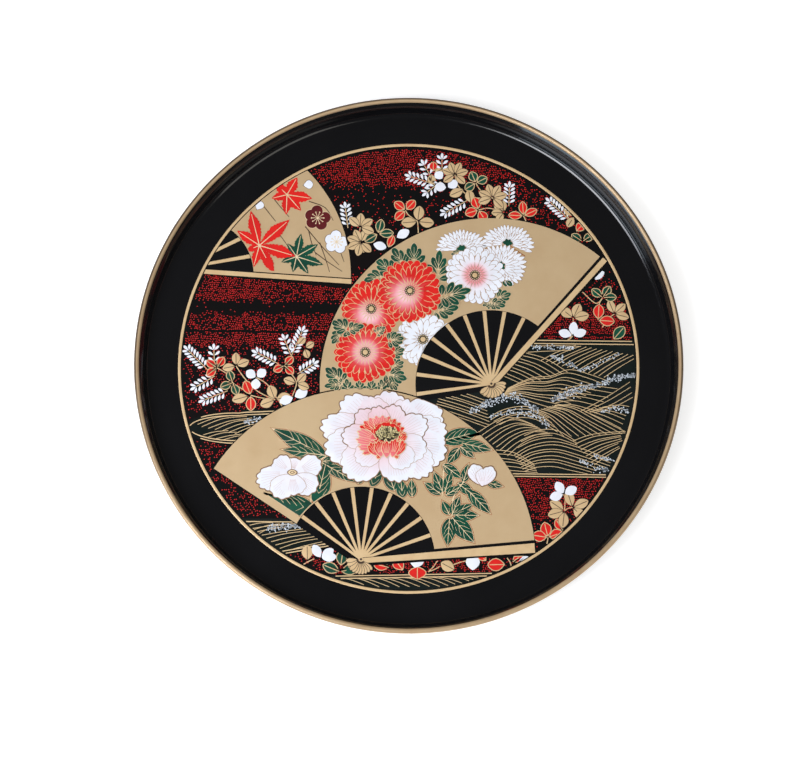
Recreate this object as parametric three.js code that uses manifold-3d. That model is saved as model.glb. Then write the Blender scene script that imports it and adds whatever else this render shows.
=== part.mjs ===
// Round black-lacquered serving tray with a flared rim, a gold lip and a picture of three
// folding fans lying over water. Millimetres, +Z up. The origin is the middle of the plane that
// the foot ring stands on, and +Y points to the top of the picture.

import * as THREE from 'three';
import { mergeVertices } from 'three/addons/utils/BufferGeometryUtils.js';
import Module from 'manifold-3d';

const wasm = await Module();
wasm.setup();

// The tray
const TRAY_RADIUS = 165; // outermost point of the gold lip
const TRAY_HEIGHT = 22.5; // foot to the top of the lip
const TURNED_STEPS = 96; // facets round every turned piece
const JOINT_GAP = 0.3; // glue line between two pieces that meet edge to edge

// Base board
const BOARD_RADIUS = 154.7;
const BOARD_BOTTOM = 4.5;
const BOARD_TOP = 9;

// Rim ring: a fillet turns the floor up into a steep wall, which flares out below the lip
const INNER_FILLET = 4;
const OUTER_FILLET = 6;
const OUTER_FILLET_SHIFT = 0.6; // how far outside the inner fillet's centre the outer one lies
const WALL_LEAN_DEG = 7; // from upright
const FLARE_LEAN_DEG = 43;
const FLARE_HEIGHT = 17.4; // where the flare starts inside
const OUTER_FLARE_HEIGHT = 15.6; // where it starts outside
const OUTER_FLARE_TOP = 19.4;
const WALL_TOP = 20.4;
const WALL_TOP_WIDTH = 2.4;
const FILLET_STEPS = 5;

// Lip band: a rounded bead on the wall's flat top
const LIP_WIDTH = 3;
const LIP_DEPTH = 2.8; // of the whole oval that the wall's top cuts off
const LIP_STEPS = 12;

// Foot ring, glued under the board
const FOOT_RADIUS = 135; // middle of its width
const FOOT_WIDTH = 7;
const FOOT_TAPER = 0.6; // each side, over its height
const FOOT_CHAMFER = 0.8;

// Coats of the picture, each laid on the one below
const COAT = 0.15;
const GROUND_TOP = BOARD_TOP + COAT;
const BACKING_TOP = GROUND_TOP + COAT;
const LEAF_TOP = BACKING_TOP + COAT;
const RIVET_HEIGHT = 0.35;

// Picture: a disc of speckled ground inside a gold border line
const GROUND_RADIUS = 137.4;
const BORDER_WIDTH = 1.6;
const BORDER_INNER = GROUND_RADIUS + JOINT_GAP;
const COAT_RADIUS = GROUND_RADIUS - JOINT_GAP; // every later coat ends here

// Fans
const ARC_STEP_DEG = 2.5;
const OUTLINE = 0.5; // black backing that shows round a fan
const RIB_ROOT_WIDTH = 1.4;
const RIB_END_WIDTH = 2.6;
const RIB_REACH = 60; // of a rib before the leaf cuts it off
const BUTT_RADIUS = 8.6; // how far the sticks reach past the rivet
const BUTT_STEPS = 9;
const RIVET_RADIUS = 1.1;

// Straight edges and guards run beside a ray from the pivot: [direction in degrees, offset].
const CHRYSANTHEMUM_FAN = {
  name: 'chrysanthemum_fan',
  pivot: [50, -10.9],
  leafCentre: [50, -10.9],
  innerRadius: 45.8,
  outerRadius: 103.5,
  guardRay: [49.2, -0.75],
  guardLength: 104.2,
  guardWidths: [3.1, 3.3],
  leafStart: [49.5, 2.2],
  leafEnd: [190.5, 3],
  firstRib: 64.7,
  ribPitch: 15.5,
  ribCount: 9,
  buttAngles: [215, 335],
};

const PEONY_FAN = {
  name: 'peony_fan',
  pivot: [-27.1, -119],
  leafCentre: [-27.1, -119],
  innerRadius: 44.2,
  outerRadius: 104.2,
  guardRay: [4.9, -0.75],
  guardLength: 103.9,
  guardWidths: [3, 5.8],
  leafStart: [5.8, 2.4],
  leafEnd: [146.7, 3.6],
  firstRib: 20.2,
  ribPitch: 15.5,
  ribCount: 9,
  buttAngles: [185, 320],
};

const MAPLE_FAN = {
  name: 'maple_fan',
  pivot: [-141, 58.4],
  leafCentre: [-131, 54.5],
  innerRadius: 36.2,
  outerRadius: 95.2,
  guardRay: [-3.35, -0.45],
  guardLength: 105.8,
  guardWidths: [2.7, 2.9],
  leafStart: [-3.35, 5],
  leafEnd: [75, 3],
  firstRib: 11.1,
  ribPitch: 16.4,
};

// Water
const SEA_TOP = 17;
const SEA_BOTTOM = -67.8;
const LEFT_STREAM = [[-140, -42], [-127, -36], [-113, -32], [-98, -29.8], [-76, -28],
  [-76, -50], [-104, -50], [-117, -49.3], [-128, -47.4], [-140, -43]];
const LOWER_LEFT_STREAM = [[-110, -95], [-62, -95], [-30, -108], [-40, -110.4], [-80, -118.2]];
const BOTTOM_STREAM = [[-70, -129.6], [70, -126.2], [70, -140], [-70, -140]];

// Materials
const BLACK_LACQUER = { color: 0x141416, roughness: 0.12, metalness: 0 };
const GOLD_LIP = { color: 0xc9a877, roughness: 0.3, metalness: 0.8 };
const GOLD_LINE = { color: 0xdcc096, roughness: 0.35, metalness: 0.6 };
const GOLD_LEAF = { color: 0xcbb086, roughness: 0.4, metalness: 0.5 };
const SPECKLED_GROUND = { color: 0x4a1013, roughness: 0.3, metalness: 0 };
const WATER_COAT = { color: 0x0d1c18, roughness: 0.25, metalness: 0 };

const tray = new THREE.Group();

/** Add one named piece, made of one closed geometry, to the tray. */
function addPiece(name, geometry, finish) {
  const piece = new THREE.Mesh(geometry, new THREE.MeshStandardMaterial(finish));
  piece.name = name;
  tray.add(piece);
}

/** A full turn of a [radius, height] outline about the tray's axis. */
function turned(outline) {
  const points = outline.map(([radius, height]) => new THREE.Vector2(radius, height));
  return new THREE.LatheGeometry(points, TURNED_STEPS).rotateX(Math.PI / 2);
}

/** Points of an arc about a centre, both ends included. */
function arc([x, y], radius, fromDeg, toDeg, stepDeg = ARC_STEP_DEG) {
  const steps = Math.max(1, Math.ceil(Math.abs(toDeg - fromDeg) / stepDeg));
  return Array.from({ length: steps + 1 }, (_, i) => {
    const angle = THREE.MathUtils.degToRad(fromDeg + (toDeg - fromDeg) * i / steps);
    return [x + radius * Math.cos(angle), y + radius * Math.sin(angle)];
  });
}

/** A flat-topped solid over a closed outline, between two heights. */
function coat(outline, bottom, top) {
  const shape = new THREE.Shape(outline.map(([x, y]) => new THREE.Vector2(x, y)));
  const geometry = new THREE.ExtrudeGeometry(shape, { depth: top - bottom, bevelEnabled: false });
  return solidOf(geometry.translate(0, 0, bottom));
}

/** The manifold solid of a closed three.js geometry. */
function solidOf(geometry) {
  geometry.deleteAttribute('normal');
  geometry.deleteAttribute('uv');
  const merged = mergeVertices(geometry, 1e-5);
  return new wasm.Manifold(new wasm.Mesh({
    numProp: 3,
    vertProperties: new Float32Array(merged.attributes.position.array),
    triVerts: new Uint32Array(merged.index.array),
  }));
}

/** The three.js geometry of a manifold solid. */
function geometryOf(solid) {
  const mesh = solid.getMesh();
  const geometry = new THREE.BufferGeometry();
  geometry.setAttribute('position', new THREE.BufferAttribute(mesh.vertProperties, 3));
  geometry.setIndex(new THREE.BufferAttribute(mesh.triVerts, 1));
  geometry.computeVertexNormals();
  return geometry;
}

/** A tall cutter over an outline, through every coat of the picture. */
function cutter(outline) {
  return coat(outline, BOARD_TOP - 1, LEAF_TOP + 1);
}

/** Point at a distance along a ray from a centre, moved aside to its left by an offset. */
function besideRay([x, y], [rayDeg, offset], along) {
  const ray = THREE.MathUtils.degToRad(rayDeg);
  return [
    x + along * Math.cos(ray) - offset * Math.sin(ray),
    y + along * Math.sin(ray) + offset * Math.cos(ray),
  ];
}

/** Direction in degrees, at a radius, of a point on a line that runs beside a ray. */
function bearing([rayDeg, offset], radius) {
  return rayDeg + THREE.MathUtils.radToDeg(Math.asin(offset / radius));
}

/** Outline of a straight stick beside a ray, with its own width at each end. */
function stickOutline(pivot, [rayDeg, offset], from, to, [rootWidth, endWidth]) {
  return [
    besideRay(pivot, [rayDeg, offset - rootWidth / 2], from),
    besideRay(pivot, [rayDeg, offset - endWidth / 2], to),
    besideRay(pivot, [rayDeg, offset + endWidth / 2], to),
    besideRay(pivot, [rayDeg, offset + rootWidth / 2], from),
  ];
}

/** Outline of the pleated leaf, between its two straight edges, grown all round. */
function leafOutline(fan, growth = 0) {
  const start = [fan.leafStart[0], fan.leafStart[1] - growth];
  const end = [fan.leafEnd[0], fan.leafEnd[1] + growth];
  const outer = fan.outerRadius + growth;
  const inner = fan.innerRadius - growth;
  return [
    ...arc(fan.leafCentre, outer, bearing(start, outer), bearing(end, outer)),
    ...arc(fan.leafCentre, inner, bearing(end, inner), bearing(start, inner)),
  ];
}

/** Outline of the whole open fan from its rivet out, grown all round. */
function fanOutline(fan, growth) {
  const [guardDeg, guardOffset] = fan.guardRay;
  const guardSide = [guardDeg, guardOffset - fan.guardWidths[1] / 2 - growth];
  const end = [fan.leafEnd[0], fan.leafEnd[1] + growth];
  const start = [fan.leafStart[0], fan.leafStart[1]];
  const radius = fan.outerRadius + growth;
  return [
    besideRay(fan.pivot, guardSide, 0),
    besideRay(fan.pivot, guardSide, fan.guardLength + growth),
    ...arc(fan.leafCentre, radius, bearing(start, radius), bearing(end, radius)),
    besideRay(fan.pivot, end, 0),
  ];
}

/** Outline of the butt, where the sticks reach past the rivet. */
function buttOutline(fan, growth) {
  const [from, to] = fan.buttAngles;
  return [...arc(fan.pivot, BUTT_RADIUS + growth, from, to, (to - from) / BUTT_STEPS),
    fan.pivot];
}

/** A solid, grown all round, that keeps other coats off a fan. */
function fanCutter(fan, growth) {
  return cutter(fanOutline(fan, growth)).add(cutter(buttOutline(fan, growth)));
}

/** Outline of a fan's guard stick, grown all round. */
function guardOutline(fan, growth = 0) {
  const widths = fan.guardWidths.map((width) => width + 2 * growth);
  return stickOutline(fan.pivot, fan.guardRay, -growth, fan.guardLength + growth, widths);
}

/** Solid of one rib, from the pivot up to the leaf. */
function rib(fan, index) {
  const ray = [fan.firstRib + index * fan.ribPitch, 0];
  const outline = stickOutline(fan.pivot, ray, 0, RIB_REACH, [RIB_ROOT_WIDTH, RIB_END_WIDTH]);
  const leafArea = cutter(leafOutline(fan, JOINT_GAP));
  return coat(outline, BACKING_TOP, LEAF_TOP).subtract(leafArea);
}

/** Black backing, leaf and guard of a fan, each kept inside the given limits. */
function addFanSheets(fan, keepInside) {
  const backing = coat(fanOutline(fan, OUTLINE), GROUND_TOP, BACKING_TOP);
  const leaf = coat(leafOutline(fan), BACKING_TOP, LEAF_TOP);
  const guard = coat(guardOutline(fan), BACKING_TOP, LEAF_TOP);
  addPiece(`${fan.name}_backing`, geometryOf(keepInside(backing)), BLACK_LACQUER);
  addPiece(`${fan.name}_leaf`, geometryOf(keepInside(leaf)), GOLD_LEAF);
  addPiece(`${fan.name}_guard`, geometryOf(keepInside(guard)), GOLD_LINE);
}

/** Ribs and butt of a whole fan in one sheet, clear of the guard, with a rivet on top. */
function addRibsAndRivet(fan, keepInside) {
  let sheet = coat(buttOutline(fan, 0), BACKING_TOP, LEAF_TOP);
  for (let i = 0; i < fan.ribCount; i += 1) {
    sheet = sheet.add(rib(fan, i));
  }
  sheet = keepInside(sheet.subtract(cutter(guardOutline(fan, JOINT_GAP))));
  addPiece(`${fan.name}_ribs`, geometryOf(sheet), GOLD_LINE);
  const rivet = coat(arc(fan.pivot, RIVET_RADIUS, 0, 345, 15), LEAF_TOP, LEAF_TOP + RIVET_HEIGHT);
  addPiece(`${fan.name}_rivet`, geometryOf(rivet), GOLD_LIP);
}

/** Base board: the flat floor of the tray. */
function addBaseBoard() {
  addPiece('base_board', turned([
    [0, BOARD_BOTTOM],
    [BOARD_RADIUS, BOARD_BOTTOM],
    [BOARD_RADIUS, BOARD_TOP],
    [BORDER_INNER + BORDER_WIDTH + JOINT_GAP, BOARD_TOP], // where the bare band starts
    [0, BOARD_TOP],
  ]), BLACK_LACQUER);
}

/** Point reached from another by rising to a height along a lean from upright. */
function risen([radius, height], toHeight, leanDeg) {
  return [radius + (toHeight - height) * Math.tan(THREE.MathUtils.degToRad(leanDeg)), toHeight];
}

/** Rim ring round the board: fillet, steep wall, flare and a flat top for the lip. */
function addRimRing() {
  const centre = BOARD_RADIUS + JOINT_GAP;
  const turnDeg = 90 - WALL_LEAN_DEG;
  const step = turnDeg / FILLET_STEPS;
  const inner = arc([centre, BOARD_TOP + INNER_FILLET], INNER_FILLET, -90, turnDeg - 90, step);
  const outer = arc([centre + OUTER_FILLET_SHIFT, BOARD_BOTTOM + OUTER_FILLET], OUTER_FILLET,
    turnDeg - 90, -90, step);
  const innerBend = risen(inner.at(-1), FLARE_HEIGHT, WALL_LEAN_DEG);
  const innerTop = risen(innerBend, WALL_TOP, FLARE_LEAN_DEG);
  const outerTopRadius = innerTop[0] + WALL_TOP_WIDTH;
  const outline = [
    [centre, BOARD_BOTTOM],
    [centre, BOARD_TOP],
    ...inner.slice(1),
    innerBend,
    innerTop,
    [outerTopRadius, WALL_TOP],
    [outerTopRadius, OUTER_FLARE_TOP],
    risen(outer[0], OUTER_FLARE_HEIGHT, WALL_LEAN_DEG),
    ...outer,
    [centre, BOARD_BOTTOM],
  ];
  addPiece('rim_ring', turned(outline.reverse()), BLACK_LACQUER);
}

/** Lip band: an oval bead, cut flat where it sits on the wall. */
function addLipBand() {
  const halfWidth = LIP_WIDTH / 2;
  const halfDepth = LIP_DEPTH / 2;
  const middle = TRAY_HEIGHT - halfDepth;
  const start = Math.asin((WALL_TOP - middle) / halfDepth);
  const sweep = Math.PI - 2 * start;
  const outline = Array.from({ length: LIP_STEPS + 1 }, (_, i) => {
    const angle = start + sweep * i / LIP_STEPS;
    return [TRAY_RADIUS - halfWidth + halfWidth * Math.cos(angle),
      Math.max(WALL_TOP, middle + halfDepth * Math.sin(angle))];
  });
  addPiece('lip_band', turned([...outline, outline[0]]), GOLD_LIP);
}

/** Foot ring that the tray stands on. */
function addFootRing() {
  const half = FOOT_WIDTH / 2;
  addPiece('foot_ring', turned([
    [FOOT_RADIUS - half, BOARD_BOTTOM],
    [FOOT_RADIUS - half + FOOT_TAPER, FOOT_CHAMFER],
    [FOOT_RADIUS - half + FOOT_TAPER + FOOT_CHAMFER, 0],
    [FOOT_RADIUS + half - FOOT_TAPER - FOOT_CHAMFER, 0],
    [FOOT_RADIUS + half - FOOT_TAPER, FOOT_CHAMFER],
    [FOOT_RADIUS + half, BOARD_BOTTOM],
    [FOOT_RADIUS - half, BOARD_BOTTOM],
  ]), BLACK_LACQUER);
}

/** Speckled ground disc and the gold line round it. */
function addGroundAndBorder() {
  addPiece('picture_ground', turned([
    [0, BOARD_TOP],
    [GROUND_RADIUS, BOARD_TOP],
    [GROUND_RADIUS, GROUND_TOP],
    [0, GROUND_TOP],
  ]), SPECKLED_GROUND);
  addPiece('picture_border', turned([
    [BORDER_INNER, BOARD_TOP],
    [BORDER_INNER + BORDER_WIDTH, BOARD_TOP],
    [BORDER_INNER + BORDER_WIDTH, BACKING_TOP],
    [BORDER_INNER, BACKING_TOP],
    [BORDER_INNER, BOARD_TOP],
  ]), GOLD_LINE);
}

const disc = cutter(arc([0, 0], COAT_RADIUS, 0, 360 - 360 / TURNED_STEPS, 360 / TURNED_STEPS));
const peonyArea = fanCutter(PEONY_FAN, OUTLINE + JOINT_GAP);
const chrysanthemumArea = fanCutter(CHRYSANTHEMUM_FAN, OUTLINE + JOINT_GAP);

/** Keep a solid inside the picture. */
function insideDisc(solid) {
  return solid.intersect(disc);
}

/** Keep a solid inside the picture and out from under the peony fan, which lies on top. */
function besidePeonyFan(solid) {
  return insideDisc(solid).subtract(peonyArea);
}

/** Maple fan: its rivet lies off the picture, so its ribs are separate strips. */
function addMapleFan() {
  addFanSheets(MAPLE_FAN, insideDisc);
  const guardArea = cutter(guardOutline(MAPLE_FAN, JOINT_GAP));
  ['lower', 'upper'].forEach((side, index) => {
    const strip = insideDisc(rib(MAPLE_FAN, index)).subtract(guardArea);
    addPiece(`maple_fan_rib_${side}`, geometryOf(strip), GOLD_LINE);
  });
}

/** Chrysanthemum fan, partly under the peony fan. */
function addChrysanthemumFan() {
  addFanSheets(CHRYSANTHEMUM_FAN, besidePeonyFan);
  addRibsAndRivet(CHRYSANTHEMUM_FAN, besidePeonyFan);
}

/** Peony fan, whole, on top of the others. */
function addPeonyFan() {
  addFanSheets(PEONY_FAN, insideDisc);
  addRibsAndRivet(PEONY_FAN, insideDisc);
}

/** Sea on the right and the three streams, each clear of the fans. */
function addWater() {
  const seaOutline = [[0, SEA_BOTTOM], [TRAY_RADIUS, SEA_BOTTOM], [TRAY_RADIUS, SEA_TOP],
    [0, SEA_TOP]];
  const waters = {
    sea_panel: seaOutline,
    stream_left: LEFT_STREAM,
    stream_lower_left: LOWER_LEFT_STREAM,
    stream_bottom: BOTTOM_STREAM,
  };
  for (const [name, outline] of Object.entries(waters)) {
    const water = besidePeonyFan(coat(outline, GROUND_TOP, BACKING_TOP));
    addPiece(name, geometryOf(water.subtract(chrysanthemumArea)), WATER_COAT);
  }
}

addBaseBoard();
addRimRing();
addLipBand();
addFootRing();
addGroundAndBorder();
addWater();
addMapleFan();
addChrysanthemumFan();
addPeonyFan();

export default tray;
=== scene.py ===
"""Looks of a round black-lacquered serving tray with a picture of three folding fans.

Everything is modelled in millimetres on the tray's own axes and scaled to metres at the end:
+X to the right of the picture, +Y to its top, +Z up out of the tray's floor.
"""

import logging
import math
import random
from collections.abc import Callable, Sequence
from dataclasses import dataclass, field
from enum import Enum

import bmesh
import bpy
from bmesh.types import BMesh, BMFace, BMVert
from mathutils import Matrix, Vector, noise


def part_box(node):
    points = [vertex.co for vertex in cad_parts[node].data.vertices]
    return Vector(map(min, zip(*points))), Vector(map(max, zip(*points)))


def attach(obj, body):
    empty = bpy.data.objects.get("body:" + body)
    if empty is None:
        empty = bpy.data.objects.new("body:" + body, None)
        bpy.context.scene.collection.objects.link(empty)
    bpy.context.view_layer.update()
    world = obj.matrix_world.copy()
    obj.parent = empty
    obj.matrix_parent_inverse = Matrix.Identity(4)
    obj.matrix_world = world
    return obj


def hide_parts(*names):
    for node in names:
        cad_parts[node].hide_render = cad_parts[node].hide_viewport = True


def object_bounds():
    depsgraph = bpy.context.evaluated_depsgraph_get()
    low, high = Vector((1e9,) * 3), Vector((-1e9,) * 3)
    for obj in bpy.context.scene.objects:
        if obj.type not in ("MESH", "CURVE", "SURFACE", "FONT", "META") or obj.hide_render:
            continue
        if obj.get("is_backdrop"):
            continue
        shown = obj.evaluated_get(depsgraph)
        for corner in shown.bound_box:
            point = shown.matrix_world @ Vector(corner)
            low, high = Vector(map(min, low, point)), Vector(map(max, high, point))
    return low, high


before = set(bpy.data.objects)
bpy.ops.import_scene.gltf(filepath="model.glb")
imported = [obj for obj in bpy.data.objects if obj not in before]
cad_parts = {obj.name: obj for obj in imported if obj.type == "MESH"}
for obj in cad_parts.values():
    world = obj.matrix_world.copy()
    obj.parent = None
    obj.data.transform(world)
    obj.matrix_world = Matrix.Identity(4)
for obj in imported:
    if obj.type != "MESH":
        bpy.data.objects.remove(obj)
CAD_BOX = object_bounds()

LOG = logging.getLogger("serving_tray")
METRE = 0.001
BODY = "root"

# Heights of the tray's coats
FLOOR = 9.0
GROUND = 9.15
BACKING = 9.30
LEAF = 9.45
BEDDED = FLOOR + 0.1
PICTURE_RADIUS = 137.1
# Share of an enamel's height that its softened edge takes up
CROWN = 0.45

Point = tuple[float, float]
Shape = Callable[[float], Point]
Depth = Callable[[float, float], float]
Tone = Callable[[float, float], float]
Colour = tuple[int, int, int]
BLACK: Colour = (11, 11, 13)


# ---- finishes


def linear(colour: Colour) -> tuple[float, float, float, float]:
    """Turn a display colour into the linear one that a shader takes.

    Args:
        colour: Red, green and blue from 0 to 255.

    Returns:
        The linear colour with full alpha.
    """
    parts = [part / 255.0 for part in colour]
    r, g, b = (p / 12.92 if p <= 0.04045 else ((p + 0.055) / 1.055) ** 2.4 for p in parts)
    return (r, g, b, 1.0)


@dataclass(frozen=True)
class Finish:
    """A lacquer, gold or enamel, with its colour, gloss and grain.

    The drift colour comes and goes in soft clouds over the surface, and the accent shows where
    a piece's tone attribute is 1.
    """

    name: str
    slot: str
    colour: Colour
    drift: Colour
    roughness: float
    roughness_drift: float = 0.05
    metallic: float = 0.0
    specular: float = 0.5
    coat: float = 0.0
    coat_roughness: float = 0.1
    cloud: float = 60.0
    grain: float = 2500.0
    grain_depth: float = 0.0
    accent: Colour = BLACK

    def build(self) -> bpy.types.Material:
        """Make the node material of this finish, or return it if it is there.

        Returns:
            The material.
        """
        known = bpy.data.materials.get(self.name)
        if known:
            return known
        material = bpy.data.materials.new(self.name)
        material.use_nodes = True
        nodes = material.node_tree.nodes
        links = material.node_tree.links
        shader = nodes["Principled BSDF"]
        shader.inputs["Metallic"].default_value = self.metallic
        shader.inputs["Specular IOR Level"].default_value = self.specular
        shader.inputs["Coat Weight"].default_value = self.coat
        shader.inputs["Coat Roughness"].default_value = self.coat_roughness
        place = nodes.new("ShaderNodeTexCoord")
        cloud = nodes.new("ShaderNodeTexNoise")
        cloud.inputs["Scale"].default_value = self.cloud
        cloud.inputs["Detail"].default_value = 4.0
        links.new(place.outputs["Object"], cloud.inputs["Vector"])
        spread = nodes.new("ShaderNodeMapRange")
        spread.inputs["From Min"].default_value = 0.35
        spread.inputs["From Max"].default_value = 0.65
        links.new(cloud.outputs["Fac"], spread.inputs["Value"])
        drift = self._mix(nodes, links, self.colour, self.drift)
        links.new(spread.outputs["Result"], drift.inputs["Factor"])
        tone = nodes.new("ShaderNodeAttribute")
        tone.attribute_name = "tone"
        flush = self._mix(nodes, links, self.colour, self.accent)
        links.new(drift.outputs["Result"], flush.inputs["A"])
        links.new(tone.outputs["Fac"], flush.inputs["Factor"])
        links.new(flush.outputs["Result"], shader.inputs["Base Color"])
        gloss = nodes.new("ShaderNodeMapRange")
        gloss.inputs["To Min"].default_value = max(self.roughness - self.roughness_drift, 0.02)
        gloss.inputs["To Max"].default_value = self.roughness + self.roughness_drift
        links.new(cloud.outputs["Fac"], gloss.inputs["Value"])
        links.new(gloss.outputs["Result"], shader.inputs["Roughness"])
        if self.grain_depth > 0.0:
            grain = nodes.new("ShaderNodeTexNoise")
            grain.inputs["Scale"].default_value = self.grain
            grain.inputs["Detail"].default_value = 2.0
            links.new(place.outputs["Object"], grain.inputs["Vector"])
            bump = nodes.new("ShaderNodeBump")
            bump.inputs["Strength"].default_value = 0.5
            bump.inputs["Distance"].default_value = self.grain_depth * METRE
            links.new(grain.outputs["Fac"], bump.inputs["Height"])
            links.new(bump.outputs["Normal"], shader.inputs["Normal"])
        return material

    @staticmethod
    def _mix(nodes: bpy.types.Nodes, links: bpy.types.NodeLinks, low: Colour,
             high: Colour) -> "Sockets":
        """Make a colour mix from one colour to another.

        Args:
            nodes: Node list that the mix is added to.
            links: Link list of the same tree. Not used.
            low: Colour at factor 0.
            high: Colour at factor 1.

        Returns:
            The mix node's colour sockets by name.
        """
        mix = nodes.new("ShaderNodeMix")
        mix.data_type = "RGBA"
        sockets = Sockets(mix)
        sockets.inputs["A"].default_value = linear(low)
        sockets.inputs["B"].default_value = linear(high)
        return sockets


class Sockets:
    """The sockets of a colour mix that are in use, by name."""

    def __init__(self, mix: bpy.types.Node) -> None:
        """Take the factor and the colour sockets of a mix node."""
        self.inputs = {"Factor": mix.inputs[0], "A": mix.inputs[6], "B": mix.inputs[7]}
        self.outputs = {"Result": mix.outputs[2]}


LACQUER = Finish("black lacquer", "black_lacquer", BLACK, (15, 15, 17), 0.13, roughness_drift=0.02,
                 specular=0.5, coat=0.3, coat_roughness=0.05, cloud=14.0, grain=900.0,
                 grain_depth=0.001)
GROUND_LACQUER = Finish("ground lacquer", "speckled_ground", (9, 12, 12), (14, 8, 9), 0.22, cloud=40.0)
# The lip gold's accent is painted shade, laid on the outer half of the lip's far side.
LIP_GOLD = Finish("lip gold", "gold_lip", (192, 166, 130), (182, 154, 118), 0.4, metallic=0.35,
                  cloud=90.0, grain_depth=0.006, accent=(92, 74, 54))
LINE_GOLD = Finish("line gold", "gold_line", (224, 194, 148), (214, 182, 136), 0.44, metallic=0.3,
                   cloud=140.0, grain_depth=0.006)
LEAF_GOLD = Finish("leaf gold", "gold_leaf", (214, 186, 144), (206, 176, 134), 0.46, metallic=0.4,
                   cloud=45.0, grain_depth=0.008)
BROWN_GOLD = Finish("brown gold", "gold_lip", (120, 86, 52), (104, 72, 42), 0.45, metallic=0.3,
                    cloud=140.0)
DOT_RED = Finish("dot red", "speckled_ground", (224, 26, 20), (200, 20, 22), 0.35, cloud=220.0)
WATER = Finish("water lacquer", "water_coat", (12, 22, 19), (20, 27, 26), 0.24, cloud=70.0)
FOAM_GREY = Finish("foam grey", "white_enamel", (205, 212, 220), (184, 194, 204), 0.4, cloud=200.0)
RED = Finish("red enamel", "red_enamel", (214, 26, 18), (200, 20, 15), 0.3, coat=0.25, cloud=120.0,
             grain_depth=0.004, accent=(244, 200, 210))
PLUM = Finish("plum enamel", "dark_red_enamel", (96, 22, 27), (82, 16, 22), 0.32, coat=0.25,
              cloud=120.0)
GREEN = Finish("green enamel", "green_enamel", (8, 78, 56), (5, 60, 45), 0.32, coat=0.25, cloud=120.0,
               grain_depth=0.004)
WHITE = Finish("white enamel", "white_enamel", (226, 229, 236), (216, 220, 228), 0.34, coat=0.2,
               cloud=110.0, grain_depth=0.004, accent=(226, 62, 78))
CREAM = Finish("cream gold", "gold_line", (228, 206, 168), (218, 192, 150), 0.45, metallic=0.15,
               cloud=140.0)
BLUSH_GOLD = Finish("blush gold", "gold_line", (176, 146, 124), (168, 138, 114), 0.45, metallic=0.1,
                    cloud=120.0)
RUST = Finish("rust line", "gold_lip", (160, 92, 48), (148, 84, 44), 0.45, metallic=0.1, cloud=120.0)
STAMEN = Finish("stamen gold", "gold_line", (232, 216, 164), (206, 190, 132), 0.45, metallic=0.15,
                cloud=200.0)
TWIG_BROWN = Finish("twig brown", "gold_lip", (74, 52, 34), (60, 42, 28), 0.45, cloud=140.0)
EYE_BROWN = Finish("eye brown", "black_lacquer", (42, 34, 22), (58, 50, 30), 0.4, cloud=200.0)
VEIN_PALE = Finish("pale vein enamel", "white_enamel", (200, 178, 176), (206, 186, 186), 0.4,
                   cloud=120.0)
FLOOR_PALE = Finish("pale floor", "", (246, 246, 246), (244, 244, 244), 0.8, specular=0.1, cloud=2.0)


# ---- shapes and regions


@dataclass(frozen=True)
class Spot:
    """Where a shape is laid: millimetres on the tray's floor, degrees and a factor."""

    x: float
    y: float
    turn: float = 0.0
    size: float = 1.0

    def matrix(self) -> Matrix:
        """Give the matrix that lays a shape here."""
        turn = Matrix.Rotation(math.radians(self.turn), 4, "Z")
        return Matrix.Translation((self.x, self.y, 0.0)) @ turn @ Matrix.Scale(self.size, 4)

    def ahead(self, reach: float, turn: float = 0.0) -> "Spot":
        """Give the spot a reach away in this spot's direction, turned further.

        Args:
            reach: Millimetres along the direction, before the spot's factor.
            turn: Degrees added to the direction of the new spot.

        Returns:
            The new spot with the same factor.
        """
        angle = math.radians(self.turn)
        step = reach * self.size
        return Spot(self.x + step * math.cos(angle), self.y + step * math.sin(angle),
                    self.turn + turn, self.size)


def polar(radius: float, degrees: float, centre: Point = (0.0, 0.0)) -> Point:
    """Give the point at a radius and direction from a centre.

    Args:
        radius: Millimetres from the centre.
        degrees: Direction, counter-clockwise from +X.
        centre: The centre.

    Returns:
        The point.
    """
    angle = math.radians(degrees)
    return (centre[0] + radius * math.cos(angle), centre[1] + radius * math.sin(angle))


def blade(length: float, width: float, belly: float = 0.5, root: float = 0.7,
          tip: float = 0.7) -> Shape:
    """Make the outline of a leaf or petal that starts at the origin and points along +X.

    Args:
        length: From root to tip.
        width: At the widest place.
        belly: Where along the length the widest place is, from 0 to 1.
        root: How pointed the root is, from 0.5, round, to 1.5, sharp.
        tip: How pointed the tip is, on the same scale.

    Returns:
        The outline.
    """
    power = math.log(0.5) / math.log(belly)

    def outline(angle: float) -> Point:
        """Give the outline's point.

        Args:
            angle: Angle round its middle.

        Returns:
            The point.
        """
        along = (1.0 - math.cos(angle)) / 2.0
        swell = max(math.sin(math.pi * along ** power), 0.0)
        half = width / 2.0 * swell ** (root + (tip - root) * along)
        return (length * along, math.copysign(half, math.sin(angle)))

    return outline


def ruffled(length: float, width: float, waves: int, depth: float, belly: float = 0.6,
            root: float = 0.7) -> Shape:
    """Make a broad petal's outline, with a scalloped outer edge.

    Args:
        length: From root to tip.
        width: At the widest place.
        waves: Number of scallops round the whole outline.
        depth: How deep they cut, as a share of the size.
        belly: Where along the length the widest place is.
        root: How pointed the root is.

    Returns:
        The outline.
    """
    plain = blade(length, width, belly, root, 0.5)

    def outline(angle: float) -> Point:
        """Give the outline's point.

        Args:
            angle: Angle round its middle.

        Returns:
            The point.
        """
        x, y = plain(angle)
        share = x / length
        cut = 1.0 - depth * share * (1.0 - abs(math.cos(waves * angle / 2.0)))
        return (x * cut, y * cut)

    return outline


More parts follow.
